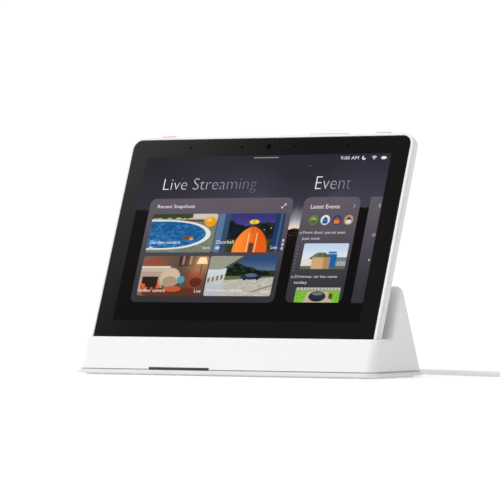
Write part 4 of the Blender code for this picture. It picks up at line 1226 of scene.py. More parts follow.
    def tie(self) -> Object:
        """Wraps a band round the coil's section, on the side away from the dock.

        Returns:
            The band.
        """
        half, height, wall = 1.5 * self.pitch + 0.2, 4 * self.pitch + 0.35, 0.55
        middle = self.outer_turn - self.pitch
        outer = rounded(2 * (half + wall), height + wall, 2.2, (middle, (height + wall) / 2), 8)
        inner = rounded(2 * half, height - 0.25, 1.8, (middle, (height - 0.25) / 2 + 0.3), 8)
        rows = []
        for outline, y in ((inner, -1.0), (outer, -0.9), (outer, 0.9), (inner, 1.0)):
            rows.append([(x, y * self.tie_width / 2, z) for x, z in outline])
        turn = Matrix.Rotation(math.radians(118), 4, "Z")
        band = moved(lofted(rows, ring=True), turn)
        tongue = block((9.0, self.tie_width - 1, 0.5), (middle + 1, 0, height + wall + 0.1), 0.9, 0.15)
        return piece(
            "lead_tie", shifted(merged(band, moved(tongue, turn)), *self.coil_centre), Finish.BAND.material
        )

    def far_connector(self) -> Object:
        """Makes the far plug's folded metal shell, open at its end.

        Returns:
            The shell.
        """
        wide, long, tall = self.far_shell
        tube = moved(block((wide, tall, long), (0, 0, long / 2), 0.5, 0.12), ALONG_Y)
        shell = piece("far_connector", tube, Finish.NICKEL.material)
        opening = block((wide - 0.7, long, tall - 0.7), (0, long / 2 + 1.5, 0))
        windows = [
            block((2.4, 2.4, 3), (x, long * 0.58, z)) for x in (-2.9, 2.9) for z in (-tall / 2, tall / 2)
        ]
        carved(shell, [piece("opening", opening, None)] + [piece("window", w, None) for w in windows])
        return shell

    def build(self) -> None:
        """Builds the lead and makes its pieces ride on the dock."""
        cable = self.cable()
        turn = Matrix.Rotation(math.pi, 4, "Z")
        near_end = self.start[1] - GAP - self.relief_length - self.plug_size[1]
        near = Matrix.Translation(Vector((0, near_end, self.start[2])) * MM)
        near_plug = self.plug("dock_plug", self.plug_size, near)
        x, y = self.far_start
        end = y + self.relief_length + self.far_size[1]
        height = self.far_size[2] / 2 + 0.1
        far_plug = self.plug(
            "far_plug", self.far_size, Matrix.Translation(Vector((x, end, height)) * MM) @ turn
        )
        connector = self.far_connector()
        connector.data.transform(Matrix.Translation(Vector((x, end + GAP, height)) * MM))
        blade = shifted(block((10.6, 11.0, 1.8), (0, 7.3, -0.7)), x, end + GAP, height)
        tongue = piece("far_tongue", blade, Finish.PLUG.material)
        tie = self.tie()
        settle(near_plug, "dock", "plug_plastic", "plug_body")
        settle(far_plug, "dock", "plug_plastic", "far_plug_body")
        settle(connector, "dock", "plated_shell", "far_plug_shell")
        settle(tongue, "dock", "plug_plastic")
        settle(tie, "dock", "white_cable")
        settle(cable, "dock", "white_cable", "cable_run", "cable_coil", "cable_tail")
        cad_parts["plug_tongue"].data.materials[0] = Finish.NICKEL.material


# ------------------------------------------------------------------ dock


@dataclass
class Dock:
    """The wedge-shaped charging dock on its base plate."""

    axes: Matrix
    width: float = 206.7
    depth: float = 62.4
    wall: float = 2.2
    corner: float = 6.0
    foot: float = 3.9
    shelf: float = 22.9
    fillet: float = 6.0
    lip: float = 2.6
    support: float = 17.0
    lean_back: float = math.radians(24.2)
    ridge: float = 1.4
    plate_bottom: float = 0.9
    plate_top: float = 3.1
    inside_floor: float = 4.7
    ceiling: float = 9.75
    overhang: float = 1.5
    seam: float = 0.4
    pad_margin: float = 4.5
    pad: float = 1.3
    boss: tuple[float, float, float] = (88.0, -8.0, 17.0)
    bore: float = 1.4
    hollow_top: float = 48.0
    pocket: Point = (200.1, 40.0, 9.4)
    pocket_y: float = -52.15
    pocket_depth: float = 9.0
    contacts: Point = (16.6, 16.0, 5.6)
    contacts_y: float = -72.15
    tablet_middle: float = -4.3
    port: Point = (13.2, 7.4, 3.0)
    socket_z: float = 10.5
    window: Pair = (-50.9, -9.0)
    slot: Pair = (1.9, 4.05)
    lining_place: float = 14.4

    def front(self, z: float, inset: float = 0.0) -> float:
        """Y of the front face at a height, moved in by inset."""
        return -self.depth / 2 + (z - self.foot) * math.tan(TILT) + inset / math.cos(TILT)

    def rear(self, z: float, inset: float = 0.0) -> float:
        """Y of the rear face at a height, moved in by inset."""
        return self.depth / 2 - (z - self.foot) * math.tan(self.lean_back) - inset / math.cos(self.lean_back)

    def peak(self, rear_inset: float, support_inset: float) -> Pair:
        """Finds where the support's front and the rear face would meet.

        Args:
            rear_inset: How far the rear face is moved in.
            support_inset: How far the support's front is moved in.

        Returns:
            Its y and z.
        """
        spread = self.rear(self.foot, rear_inset) - self.front(self.foot, self.support + support_inset)
        z = self.foot + spread / (math.tan(TILT) + math.tan(self.lean_back))
        return self.rear(z, rear_inset), z

    @staticmethod
    def bent(corners: Sequence[tuple[float, float, float, int]]) -> Outline:
        """Turns the corners of a line into arcs.

        Args:
            corners: Each corner's y, z, radius and steps.

        Returns:
            The line's points.
        """
        points: Outline = []
        for index, (a, b, radius, steps) in enumerate(corners):
            if not radius:
                points.append((a, b))
                continue
            here = Vector((a, b))
            before = (Vector(corners[index - 1][:2]) - here).normalized()
            after = (Vector(corners[index + 1][:2]) - here).normalized()
            half = before.angle(after) / 2
            middle = here + (before + after).normalized() * radius / math.sin(half)
            start = here + before * radius / math.tan(half) - middle
            end = here + after * radius / math.tan(half) - middle
            turn = start.angle_signed(end)
            for step in range(steps + 1):
                spoke = Matrix.Rotation(-turn * step / steps, 2) @ start
                points.append((middle.x + spoke.x, middle.y + spoke.y))
        return points

    def section(self, from_end: float) -> Outline:
        """Draws the shell's outline, which is drawn in where the ends are rounded.

        Args:
            from_end: Distance from the nearer end.

        Returns:
            Its (y, z) points.
        """

        def inset(radius: float) -> float:
            """How much an edge of this radius draws in here."""
            short = max(0.0, radius - from_end)
            return radius - math.sqrt(radius * radius - short * short)

        around, soft, drop = inset(self.corner), inset(2.0), inset(1.4)
        shelf = self.shelf - drop
        ridge_y, ridge_z = self.peak(around, soft)
        return self.bent([
            (self.front(self.foot, around), self.foot, 0, 0),
            (self.front(shelf, around), shelf, 0.55, 4),
            (self.front(shelf, self.support + soft), shelf, self.fillet, 14),
            (ridge_y, ridge_z, self.ridge, 10),
            (self.rear(self.foot, around), self.foot, 0, 0),
        ])

    def outer(self) -> Solid:
        """Makes the shell's outside as one closed body.

        Returns:
            The body.
        """
        ends = [self.corner * (1 - math.sin(a)) for a in np.linspace(0, math.pi / 2, 15)]
        half = self.width / 2
        stations = [(-half + t, t) for t in ends[::-1]] + [(half - t, t) for t in ends]
        return lofted([[(x, y, z) for y, z in self.section(t)] for x, t in stations])

    def hollow(self) -> Object:
        """Makes the space inside the shell, round the four screw bosses.

        Returns:
            The space.
        """
        rows = []
        for z, least in ((self.foot - 5, 0.0), (self.hollow_top, 8.0)):
            near, far = self.front(z, self.wall), self.rear(z, self.wall)
            rows.append((z, near, max(far, near + least)))
        body = piece("hollow", lofted([
            level(
                rounded(
                    self.width - 2 * self.wall, far - near, self.corner - self.wall, (0, (near + far) / 2), 6
                ),
                z
            )
            for z, near, far in rows
        ]), None)
        behind = self.lip + self.pocket_depth + self.wall
        high = self.shelf - self.wall
        cover = self.support + self.wall
        top_z = self.peak(self.wall, self.wall)[1] - 4.0
        outline = [
            (-90, self.ceiling), (self.front(self.ceiling, behind), self.ceiling),
            (self.front(high, behind), high),
            (self.front(high, cover) + self.fillet / 2, high),
            (self.front(high + self.fillet, cover), high + self.fillet),
            (self.front(top_z, cover), top_z), (90, top_z), (90, -20), (-90, -20),
        ]
        prism = lofted([[(x, y, z) for y, z in outline] for x in (-150, 150)])
        carved(body, [piece("ceiling", prism, None)], "INTERSECT")
        sleeves = []
        for x, y in self.bosses():
            post = turned(
                [(0, 60), (3.4, 60), (3.4, self.inside_floor + GAP), (0, self.inside_floor + GAP)], 24
            )
            sleeves.append(piece("post", shifted(post, x, y), None))
        return carved(body, sleeves)

    def bosses(self) -> list[Pair]:
        """Middle of each screw boss."""
        x, near, far = self.boss
        return [(side * x, y) for side in (-1, 1) for y in (near, far)]

    def mouth(self) -> Solid:
        """Makes the softened edge round the tablet's pocket, at the shelf.

        Returns:
            The body to cut away.
        """
        radius, rows = 0.6, []
        for down in [radius * (1 - math.sin(a)) for a in np.linspace(0, math.pi / 2, 6)] + [-0.5]:
            short = radius - max(down, 0.0)
            grown = radius - math.sqrt(max(radius * radius - short * short, 0.0)) if down > 0 else radius
            z = self.shelf - down
            near = self.front(z, self.lip - 0.4 - grown)
            far = self.front(z, self.lip + self.pocket_depth + grown)
            rows.append(
                level(
                    rounded(self.pocket[0] + 2 * grown, far - near, 0.3 + grown, (0, (near + far) / 2), 5), z
                )
            )
        return lofted(rows)

    def shell(self) -> Object:
        """The white shell, with its pocket, contact mouth, plug hole and status window slot.

        Returns:
            The shell.
        """
        shell = piece("dock_body", self.outer(), Finish.SHELL.material)
        pocket = block(self.pocket, (0, self.pocket_y, self.tablet_middle), 0.3, steps=3)
        contacts = block(self.contacts, (0, self.contacts_y, self.tablet_middle), 1.0)
        rear, (wide, tall, corner) = self.rear(self.socket_z), self.port
        port = [
            [
                (x, y, z + self.socket_z)
                for x, z in rounded(wide + 2 * grown, tall + 2 * grown, corner + grown)
            ]
            for y, grown in ((rear - 10, 0), (rear - 1.6, 0), (rear - 0.4, 0.35), (rear + 8, 4.0))
        ]
        left, right = self.window
        slot = block(
            (right - left + 2 * GAP, 12, self.slot[0]),
            ((left + right) / 2, self.front(self.foot), self.slot[1])
        )
        bore = turned([(0, 12), (self.bore, 12), (self.bore, 0), (0, 0)], 20)
        return carved(shell, [
            self.hollow(), piece("pocket", pocket, None, self.axes), piece("mouth", self.mouth(), None),
            piece("contacts", contacts, None, self.axes), piece("port", lofted(port), None),
            piece("slot", slot, None),
            *(piece("bore", shifted(bore, x, y), None) for x, y in self.bosses()),
        ])

    def plate(self) -> Object:
        """Makes the base plate with its rounded rim, pad recess and screw holes.

        Returns:
            The plate.
        """
        width, depth = self.width + 2 * self.overhang, self.depth + 2 * self.overhang
        half = (self.plate_top - self.plate_bottom) / 2
        rows = []
        for angle in np.linspace(-math.pi / 2, math.pi / 2, 11):
            inset = half * (1 - math.cos(angle)) * 0.7
            outline = rounded(
                width - 2 * inset, depth - 2 * inset, self.corner + self.overhang - inset, steps=14
            )
            rows.append(level(outline, self.plate_bottom + half + half * math.sin(angle)))
        inset = self.wall + GAP
        near, far = self.front(self.inside_floor, inset), self.rear(self.inside_floor, inset)
        tongue = rounded(self.width - 2 * inset, far - near, self.corner - inset, (0, (near + far) / 2), 14)
        land = rounded(
            self.width - 2 * self.seam, self.depth - 2 * self.seam, self.corner - self.seam, steps=14
        )
        land_top = self.foot - GAP
        rows += [level(land, self.plate_top), level(land, land_top), level(tongue, land_top)]
        rows.append(level(tongue, self.inside_floor))
        wide, deep = (side - 2 * (self.pad_margin - GAP) for side in (width, depth))
        cutters = [piece("recess", block((wide, deep, 1.4), (0, 0, self.plate_bottom), 6.0), None)]
        seat = self.pad + 2 * GAP + 1.4 + GAP
        hole = [(0, 7), (self.bore, 7), (self.bore, seat), (2.7, seat), (2.7, 0), (0, 0)]
        cutters += [piece("hole", shifted(turned(hole, 24), x, y), None) for x, y in self.bosses()]
        return carved(piece("base_tray", lofted(rows), Finish.PLATE.material), cutters)

    def grip(self) -> Object:
        """Makes the non-slip pad under the plate, with moulded ribs along it.

        Returns:
            The pad.
        """
        wide = self.width + 2 * (self.overhang - self.pad_margin)
        deep = self.depth + 2 * (self.overhang - self.pad_margin)
        pad = piece(
            "grip_pad", block((wide, deep, self.pad), (0, 0, self.pad / 2), 6.0, 0.35), Finish.RUBBER.material
        )
        groove = piece("groove", block((wide - 14, 0.9, 0.6), radius=0.4, steps=4), None)
        count = 9
        pitch = (deep - 12) / (count - 1)
        cut = Repeater("pad_grooves").along(
            groove, count, (0, -(deep - 12) / 2, 0), (0, pitch, 0)
        ).build("grooves")
        return carved(pad, [cut])

    def lining(self) -> Object:
        """The thin woven lining on the support's front face, behind the tablet.

        Returns:
            The lining.
        """
        rise = (self.shelf + self.fillet - 0.6, self.peak(0, 0)[1] - 4.0)
        drop = self.axes.translation.z / MM
        low, high = ((z - drop + self.lining_place * math.sin(TILT)) / math.cos(TILT) for z in rise)
        sheet = block(
            (self.width - 6.0, high - low, 0.3), (0, (low + high) / 2, -self.lining_place), 5.0, 0.1, 10
        )
        return piece("support_lining", sheet, Finish.LINING.material, self.axes)

    def build(self) -> None:
        """Builds the dock and dresses what stays of its CAD."""
        settle(self.shell(), "dock", "white_shell", "dock_shell")
        settle(self.plate(), "dock", "white_shell", "base_plate")
        settle(self.grip(), "dock", "grey_rubber", "base_pad")
        settle(self.lining(), "dock", "white_shell")
        item = screw("base_screw_item", 2.4, 1.1, 1.4, 5.5)
        points = [(x, y, self.pad + 2 * GAP) for x, y in self.bosses()]
        screws = Repeater("base_screws").at_points(item).build("base_screws", points)
        settle(screws, "dock", "screw_steel", *(f"base_screw_{i}" for i in range(1, 5)))
        dress(Finish.SMOKE, "status_window")
        dress(Finish.BOARD, "status_light", "dock_board")
        dress(Finish.NICKEL, "usb_socket")
        dress(Finish.BLACK, "contact_block")
        dress(Finish.STEEL, "ballast_left", "ballast_right")
        dress(Finish.GOLD, *(f"contact_pin_{i}" for i in range(1, 5)))


def dress(finish: Finish, *nodes: str) -> None:
    """Gives the CAD nodes that stay their finish.

    Args:
        finish: The finish.
        nodes: The nodes' names.
    """
    for node in nodes:
        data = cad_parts[node].data
        data.materials.clear()
        data.materials.append(finish.material)


def screw(name: str, head: float, shank: float, head_height: float, length: float) -> Object:
    """A screw with a domed head and a cross recess, whose head's face is at 0 and whose shank points up.

    Args:
        name: The object's name.
        head: Radius of the head.
        shank: Radius of the shank.
        head_height: Height of the head.
        length: Length of the shank.

    Returns:
        The screw.
    """
    profile = [
        (0, head_height + length), (shank * 0.7, head_height + length), (shank, head_height + length - 0.4),
        (shank, head_height),
        (head, head_height), (head, 0.3), (head * 0.93, 0.1), (head * 0.78, 0), (0, 0),
    ]
    made = piece(name, turned(profile, 28), Finish.SCREW.material)
    reach = head * 1.15
    sizes = ((reach, head * 0.24, head_height), (head * 0.24, reach, head_height))
    return carved(made, [piece("cross", block(size), None) for size in sizes])


# ------------------------------------------------------------------ tablet


@dataclass
class TabletSizes:
    """Sizes that several of the tablet's pieces share, from the middle of the lit area."""

    glass_y: float = -2.25
    glass_width: float = 195.3
    glass_height: float = 135.2
    glass_radius: float = 5.8
    glass_thickness: float = 0.9
    rim: float = 2.0
    rim_depth: float = 1.6
    edge: float = 8.6
    back: float = 14.0
    bend: float = 3.2
    wall: float = 1.8
    lip_wall: float = 1.0
    top: float = 67.35
    bottom: float = -71.85
    raised_half: float = 87.65
    raised_top: float = 54.35
    raised_bottom: float = -55.85
    ramp: float = 5.0
    raised_radius: float = 12.0
    opening: Point = (178.9, 114.3, 1.0)
    camera_y: float = 59.6
    button_depth: float = 4.4
    button_tall: float = 2.6
    flange: float = 65.05
    slide: float = 0.4


@dataclass(kw_only=True)
class Tablet(TabletSizes):
    """The display: glass, white frame, housing, camera and what is inside."""

    axes: Matrix
    buttons: tuple[Pair, ...] = ((-75.6, 11.4), (38.25, 27.1), (75.7, 10.8))
    speakers: tuple[Pair, ...] = ((-54.0, 33.0), (54.0, -33.0))
    slots: int = 7
    slot_pitch: float = 3.4

    def body(self, inset: float, steps: int = 14) -> Outline:
        """The tablet's outline, drawn in by inset.

        Args:
            inset: How far it is drawn in.
            steps: Faces in each corner.

        Returns:
            The outline.
        """
        width, height = self.glass_width + 2 * self.rim, self.glass_height + 2 * self.rim
        radius = max(self.glass_radius + self.rim - inset, 0.5)
        return rounded(width - 2 * inset, height - 2 * inset, radius, (0, self.glass_y), steps)

    def raised(self, inset: float, steps: int = 14) -> Outline:
        """The raised back's outline, drawn in by inset."""
        top, bottom = self.raised_top - inset, self.raised_bottom + inset
        return rounded(
            2 * (self.raised_half - inset), top - bottom, max(self.raised_radius - inset, 2.0),
            (0, (top + bottom) / 2),
            steps
        )

    def glass(self) -> Object:
        """The cover glass with its softly rounded edge.

        Returns:
            The glass.
        """
        soft, rows = 0.4, []
        rows.append(level(self.body(self.rim), -self.glass_thickness))
        for angle in np.linspace(0, math.pi / 2, 6):
            rows.append(
                level(self.body(self.rim + soft * (1 - math.cos(angle))), -soft + soft * math.sin(angle))
            )
        return piece("front_glass", lofted(rows), Finish.GLASS.material, self.axes, smooth=30)

    def front_frame(self) -> Object:
        """The white ring with its ledge and skirt.

        Returns:
            The ring.
        """
        ledge = self.glass_thickness + GAP
        low, skirt, gap = ledge + 1.2, self.lip_wall + GAP, self.rim - 0.2
        opening = rounded(*self.opening, steps=14)
        rows = [
            level(self.body(0.5), 0), level(self.body(gap - 0.15), 0), level(self.body(gap), -0.15),
            level(self.body(gap), -ledge)
        ]
        rows += [
            level(opening, -ledge), level(opening, -low), level(self.body(skirt), -low),
            level(self.body(skirt), -self.rim_depth)
        ]
        rows += [level(self.body(0.12), -self.rim_depth), level(self.body(0), -self.rim_depth + 0.12)]
        rows += [
            level(self.body(0.5 - 0.5 * math.cos(a)), -0.5 + 0.5 * math.sin(a))
            for a in np.linspace(0, math.pi / 2, 6)[:-1]
        ]
        ring = piece("screen_ring", lofted(rows, ring=True), Finish.CASE.material, self.axes)
        hole = turned([(0, 5), (2.2, 5), (2.2, -5), (0, -5)], 32)
        return carved(ring, [piece("camera_hole", shifted(hole, 0, self.camera_y, 0), None, self.axes)])

    def housing(self) -> Object:
        """The rear housing: a hollow tray with a raised back, button slots, sound slots and screw seats.

        Returns:
            The housing.
        """
        rim, bend, wall, edge, back = self.rim_depth + GAP, self.bend, self.wall, self.edge, self.back
        rows = [level(self.body(0.12), -rim), level(self.body(0), -rim - 0.12)]
        for angle in np.linspace(0, math.pi / 2, 10):
            rows.append(
                level(self.body(bend * (1 - math.cos(angle))), -(edge - bend + bend * math.sin(angle)))
            )
        for share in np.linspace(0, 1, 9):
            ease = share * share * (3 - 2 * share)
            rows.append(
                level(self.raised(self.ramp * share + 1.2 * ease * share), -(edge + (back - edge) * ease))
            )
        inside = [
            level(self.raised(self.ramp + wall / 2), -(back - wall)),
            level(self.raised(wall / 2), -(edge - wall))
        ]
        inner = bend - wall
        for angle in np.linspace(math.pi / 2, 0, 5):
            inside.append(
                level(
                    self.body(wall + inner * (1 - math.cos(angle))), -(edge - bend + inner * math.sin(angle))
                )
            )
        skirt = self.glass_thickness + GAP + 1.2 + GAP
        inside += [
            level(self.body(wall), -skirt), level(self.body(self.lip_wall), -skirt),
            level(self.body(self.lip_wall), -rim)
        ]
        tray = piece(
            "tablet_housing", lofted(rows[::-1] + inside[::-1]), Finish.CASE.material, self.axes, smooth=32
        )
        cuts = []
        for middle, length in self.buttons:
            tall = self.button_tall + 2 * self.slide
            cuts.append(piece("slot", moved(
                block((length + 2 * self.slide, tall, 8), radius=tall / 2 - 0.05, steps=10),
                Matrix.Translation((middle, self.top, -self.button_depth)) @ ALONG_Y,
            ), None, self.axes))
        cuts.append(
            piece("contacts", block((11.8, 8, 2.2), (0, self.bottom, -edge / 2), 0.8), None, self.axes)
        )
        for number, (x, y) in enumerate(self.speakers):
            item = piece("sound_slot", block((1.2, 10, 5), radius=0.58, steps=6), None)
            start = (x - (self.slots - 1) / 2 * self.slot_pitch, y, -back)
            name = f"grille_{number}"
            cuts.append(
                Repeater(name).along(
                    item, self.slots, start, (self.slot_pitch, 0, 0)
                ).build(name, matrix=self.axes)
            )
        seat = back - 0.7 - GAP
        hole = turned(
            [(0, -10), (1.4, -10), (1.4, -seat), (2.7, -seat), (2.7, -back - 2), (0, -back - 2)], 28
        )
        cuts += [piece("screw_seat", shifted(hole, x, y), None, self.axes) for x, y in self.screw_places()]
        return carved(tray, cuts)

    def screw_places(self) -> list[Pair]:
        """Places the housing screws.

        Returns:
            The middle of each.
        """
        margin = self.ramp + 6.0
        x = self.raised_half - margin
        return [
            (side * x, y) for side in (-1, 1) for y in (self.raised_bottom + margin, self.raised_top - margin)
        ]

    def camera(self) -> Object:
        """The camera under the glass: a stepped bezel round a domed lens."""
        rings = [
            (0, 0.03), (0.55, 0.028), (0.9, 0.022), (1.15, 0.02), (1.2, 0.035), (1.62, 0.035), (1.72, 0.005),
            (1.72, -0.1), (0, -0.1)
        ]
        return piece(
            "camera_lens", shifted(turned(rings, 48), 0, self.camera_y, 0), Finish.LENS.material, self.axes
        )

    def windows(self) -> Object:
        """The sensor windows on both sides of the camera."""
        parts = [
            block((9.0, 2.3, 0.06), (side * 11.0, self.camera_y, 0.01), 1.1, 0.015, 8) for side in (-1, 1)
        ]
        return piece("sensor_windows", merged(*parts), Finish.WINDOW.material, self.axes)

    def holes(self) -> Object:
        """The small sensors beside the windows and the microphone holes further out, all as flat black discs;
        on the microphone holes the black is painted shade in place of cut holes.

        Returns:
            The holes.
        """
        parts = []
        for x, radius in ((19.0, 0.85), (56.0, 0.75)):
            profile = [(0, 0.035), (radius * 0.92, 0.03), (radius, -0.02), (0, -0.02)]
            parts += [shifted(turned(profile, 24), side * x, self.camera_y) for side in (-1, 1)]
        return piece("sensor_holes", merged(*parts), Finish.SENSOR_BLACK_AND_HOLE_SHADE.material, self.axes)

    def build(self) -> None:
        """Builds the tablet and dresses what stays of its CAD."""
        settle(self.glass(), "display", "black_glass", "cover_glass")
        settle(self.front_frame(), "display", "white_case", "front_frame")
        settle(self.housing(), "display", "white_case", "rear_housing")
        settle(self.camera(), "display", "black_plastic")
        settle(self.windows(), "display", "black_plastic")
        settle(self.holes(), "display", "black_plastic")
        item = screw("housing_screw_item", 2.4, 1.1, 0.7, 3.4)
        points = [(x, y, -self.back + GAP) for x, y in self.screw_places()]
        screws = Repeater("housing_screws").at_points(item).build("housing_screws", points, self.axes)
        settle(screws, "display", "screw_steel", *(f"housing_screw_{i}" for i in range(1, 5)))
        dress(
            Finish.BLACK, "display_panel", "speaker_left", "speaker_right", "camera_module", "contact_strip"
        )
        dress(Finish.BLACK, "switch_alarm", "switch_volume_down", "switch_volume_up", "switch_power")
        dress(Finish.BOARD, "main_board", "key_board")
        dress(Finish.STEEL, "mid_frame", "shield_can")
        dress(Finish.CELL, "battery_pack")
        dress(Finish.GOLD, *(f"contact_pad_{i}" for i in range(1, 5)))


@dataclass
class Button:
    """One soft-edged button in the tablet's top edge, with its flange and stems."""

    axes: Matrix
    name: str
    node: str
    middle: float
    length: float
    proud: float
    finish: Finish
    slot: str
    stems: tuple[float, ...] = (0.0,)
    soft: float = 0.55
    mark: bool = False

    def build(self) -> None:
        """Builds the button."""
        top, flange, soft = TabletSizes.top + self.proud, TabletSizes.flange, self.soft
        rows = []
        levels = [(flange - 0.8, 0.8, 0.1), (flange, 0.8, 0.1), (flange, 0.0, 0.0)]
        levels += [
            (top - soft + soft * math.sin(a), -soft * (1 - math.cos(a)), -soft * (1 - math.cos(a)))
            for a in np.linspace(0, math.pi / 2, 7)
        ]
        for height, along, across in levels:
            wide, tall = self.length + 2 * along, TabletSizes.button_tall + 2 * across
            outline = rounded(wide, tall, tall / 2 - 0.04, steps=8)
            rows.append([(x + self.middle, height, z - TabletSizes.button_depth) for x, z in outline])
        cap = piece(self.name, lofted(rows), self.finish.material, self.axes)
        parts = [
            block(
                (2.4, 1.2, 1.6), (self.middle + x, flange - 1.0, -TabletSizes.button_depth), 0.3
            ) for x in self.stems
        ]
        carved(cap, [piece("stem", part, None, self.axes) for part in parts], "UNION")
        if self.mark:
            dent = block((2.6, 0.36, 0.34), (self.middle, top, -TabletSizes.button_depth), 0.1)
            dents = [shifted(dent, x) for x in self.stems]
            carved(cap, [piece("dent", dent, None, self.axes) for dent in dents])
        settle(cap, self.node, self.slot, self.node)


# ------------------------------------------------------------------ screen

Tint = tuple[float, float, float]


def smooth(value: Array) -> Array:
    """Smoothstep from 0 to 1."""
    value = np.clip(value, 0, 1)
    return value * value * (3 - 2 * value)


def patches(u: Array, v: Array, across: float, up: float, seed: int) -> Array:
    """Smooth noise from 0 to 1.

    Args:
        u: Places across the picture, from 0 to 1.
        v: Places up the picture, from 0 to 1.
        across: Features across the picture.
        up: Features up the picture.
        seed: The seed.

    Returns:
        The noise at those places.
    """
    lattice = np.random.default_rng(seed).random((128, 128))
    x, y = u * across, v * up
    i, j = x.astype(int) % 127, y.astype(int) % 127
    s, t = smooth(x % 1), smooth(y % 1)
    low = lattice[i, j] * (1 - s) + lattice[i + 1, j] * s
    high = lattice[i, j + 1] * (1 - s) + lattice[i + 1, j + 1] * s
    return low * (1 - t) + high * t


def spot(u: Array, v: Array, at: Pair, size: Pair, soft: float = 0.08) -> Array:
    """One inside an ellipse and nothing outside it, with a soft edge."""
    away = np.hypot((u - at[0]) / size[0], (v - at[1]) / size[1])
    return smooth((1 - away) / soft + 0.5)


def within(value: Array, low: float | Array, high: float | Array, soft: float = 0.015) -> Array:
    """One between two limits, with soft edges."""
    return smooth((value - low) / soft + 0.5) * smooth((high - value) / soft + 0.5)


def over(base: Array, tint: Tint | Array, share: Array) -> Array:
    """Lays a tint over a picture by share."""
    return base * (1 - share[:, None]) + np.asarray(tint, float) * share[:, None]


def plain(u: Array, low: Tint, high: Tint, share: Array) -> Array:
    """A picture that runs from one tint to another."""
    return over(np.tile(np.asarray(low, float), (len(u), 1)), high, share)


class Painting:
    """A small picture under way: a tint at each of its places, which run from 0 to 1 across and up."""

    def __init__(self, u: Array, v: Array, low: Tint, high: Tint, share: Array) -> None:
        """Starts with a ground that runs from one tint to another."""
        self.u, self.v = u, v
        self.tints = plain(u, low, high, share)

    def lay(self, tint: Tint | Array, share: Array) -> None:
        """Lays a tint over the picture by share."""
        self.tints = over(self.tints, tint, share)

    def box(self, tint: Tint, across: Pair, up: Pair) -> None:
        """Lays an upright box between two limits each way."""
        self.lay(tint, within(self.u, *across) * within(self.v, *up))

    def oval(self, tint: Tint, at: Pair, size: Pair, soft: float = 0.08) -> None:
        """Lays an ellipse with a soft edge."""
        self.lay(tint, spot(self.u, self.v, at, size, soft))


def paint_pool(u: Array, v: Array) -> Array:
    """A garden pool with a white rim, a deck and a hedge.

    Args:
        u: Places across, from 0 to 1.
        v: Places up, from 0 to 1.

    Returns:
        The tint at each place.
    """
    grain = patches(u, v, 40, 30, 3)
    view = Painting(u, v, (104, 112, 98), (134, 138, 122), grain)
    view.lay((186, 176, 152), within(v, 0.80, 0.92, 0.03))
    hedge = patches(u, v, 26, 9, 5)
    view.lay((54, 66, 40), within(v, 0.86 + 0.05 * hedge, 2) * (u < 0.62))
    view.box((206, 198, 184), (0.62, 2), (0.88, 2))
    view.box((96, 62, 48), (0.0, 0.8), (0.80, 0.85))
    shape = (
        np.where(u > 0.22, np.hypot((u - 0.22) / 0.69, (v - 0.46) / 0.37), np.abs(v - 0.46) / 0.37)
        + 0.03 * patches(u, v, 3, 3, 8)
    )
    view.lay((226, 228, 224), smooth((1.08 - shape) / 0.02))
    wave = patches(u, v, 22, 34, 11) * 0.6 + patches(u, v, 50, 70, 12) * 0.4
    water = plain(u, (22, 82, 138), (66, 142, 198), smooth(wave * 1.5 - 0.3 - 0.3 * v))
    view.lay(water, smooth((0.97 - shape) / 0.02))
    view.oval((122, 70, 38), (0.60, 0.37), (0.08, 0.045))
    view.oval((222, 170, 60), (0.66, 0.35), (0.03, 0.035))
    view.oval((238, 156, 30), (0.90, 0.79), (0.085, 0.13), 0.25)
    view.oval((250, 196, 74), (0.88, 0.84), (0.035, 0.05), 0.5)
    return view.tints


def paint_garden(u: Array, v: Array) -> Array:
    """A garden at dusk with trees and an orange tent.

    Args:
        u: Places across, from 0 to 1.
        v: Places up, from 0 to 1.

    Returns:
        The tint at each place.
    """
    view = Painting(u, v, (98, 92, 160), (54, 50, 118), smooth(v * 1.4 - 0.4))
    leaf = patches(u, v, 14, 10, 21) * 0.6 + patches(u, v, 40, 30, 22) * 0.4
    crown = 0.60 + 0.22 * patches(u, v * 0, 6, 1, 23) + 0.10 * leaf
    view.lay(plain(u, (16, 20, 26), (44, 50, 52), smooth(leaf * 2 - 0.8)), within(v, -1, crown, 0.03))
    view.lay(plain(u, (34, 46, 24), (66, 84, 44), leaf), within(v, -1, 0.34, 0.04))
    view.lay(
        (196, 150, 70), spot(u, v, (0.82, 0.62), (0.012, 0.02)) + spot(u, v, (0.72, 0.58), (0.01, 0.015))
    )
    for left, right, tint in (
        (-1, 0.10, (88, 118, 152)), (0.10, 0.18, (52, 76, 106)), (0.86, 2, (34, 54, 92)),
        (0.93, 0.965, (62, 92, 138))
    ):
        view.lay(tint, within(u, left, right, 0.012))
    half = 0.26 * np.clip(1 - ((v - 0.02) / 0.64) ** 2, 0, 1) ** 0.6
    tent = within(u, 0.55 - half, 0.55 + half, 0.02) * within(v, -1, 0.66)
    view.lay(plain(u, (226, 92, 20), (252, 138, 52), smooth((0.7 - u) * 3)), tent)
    view.lay(
        (255, 214, 150), tent * (within(u, 0.50, 0.512, 0.01) + within(u, 0.62, 0.632, 0.01)) * (v < 0.5)
    )
    view.lay((84, 60, 52), tent * within(u, 0.53, 0.60, 0.02) * within(v, -1, 0.24, 0.02))
    view.oval((236, 204, 70), (0.55, 0.78), (0.075, 0.06), 0.2)
    view.lay((70, 60, 56), within(u, 0.545, 0.555, 0.006) * within(v, 0.5, 0.95))
    return view.tints


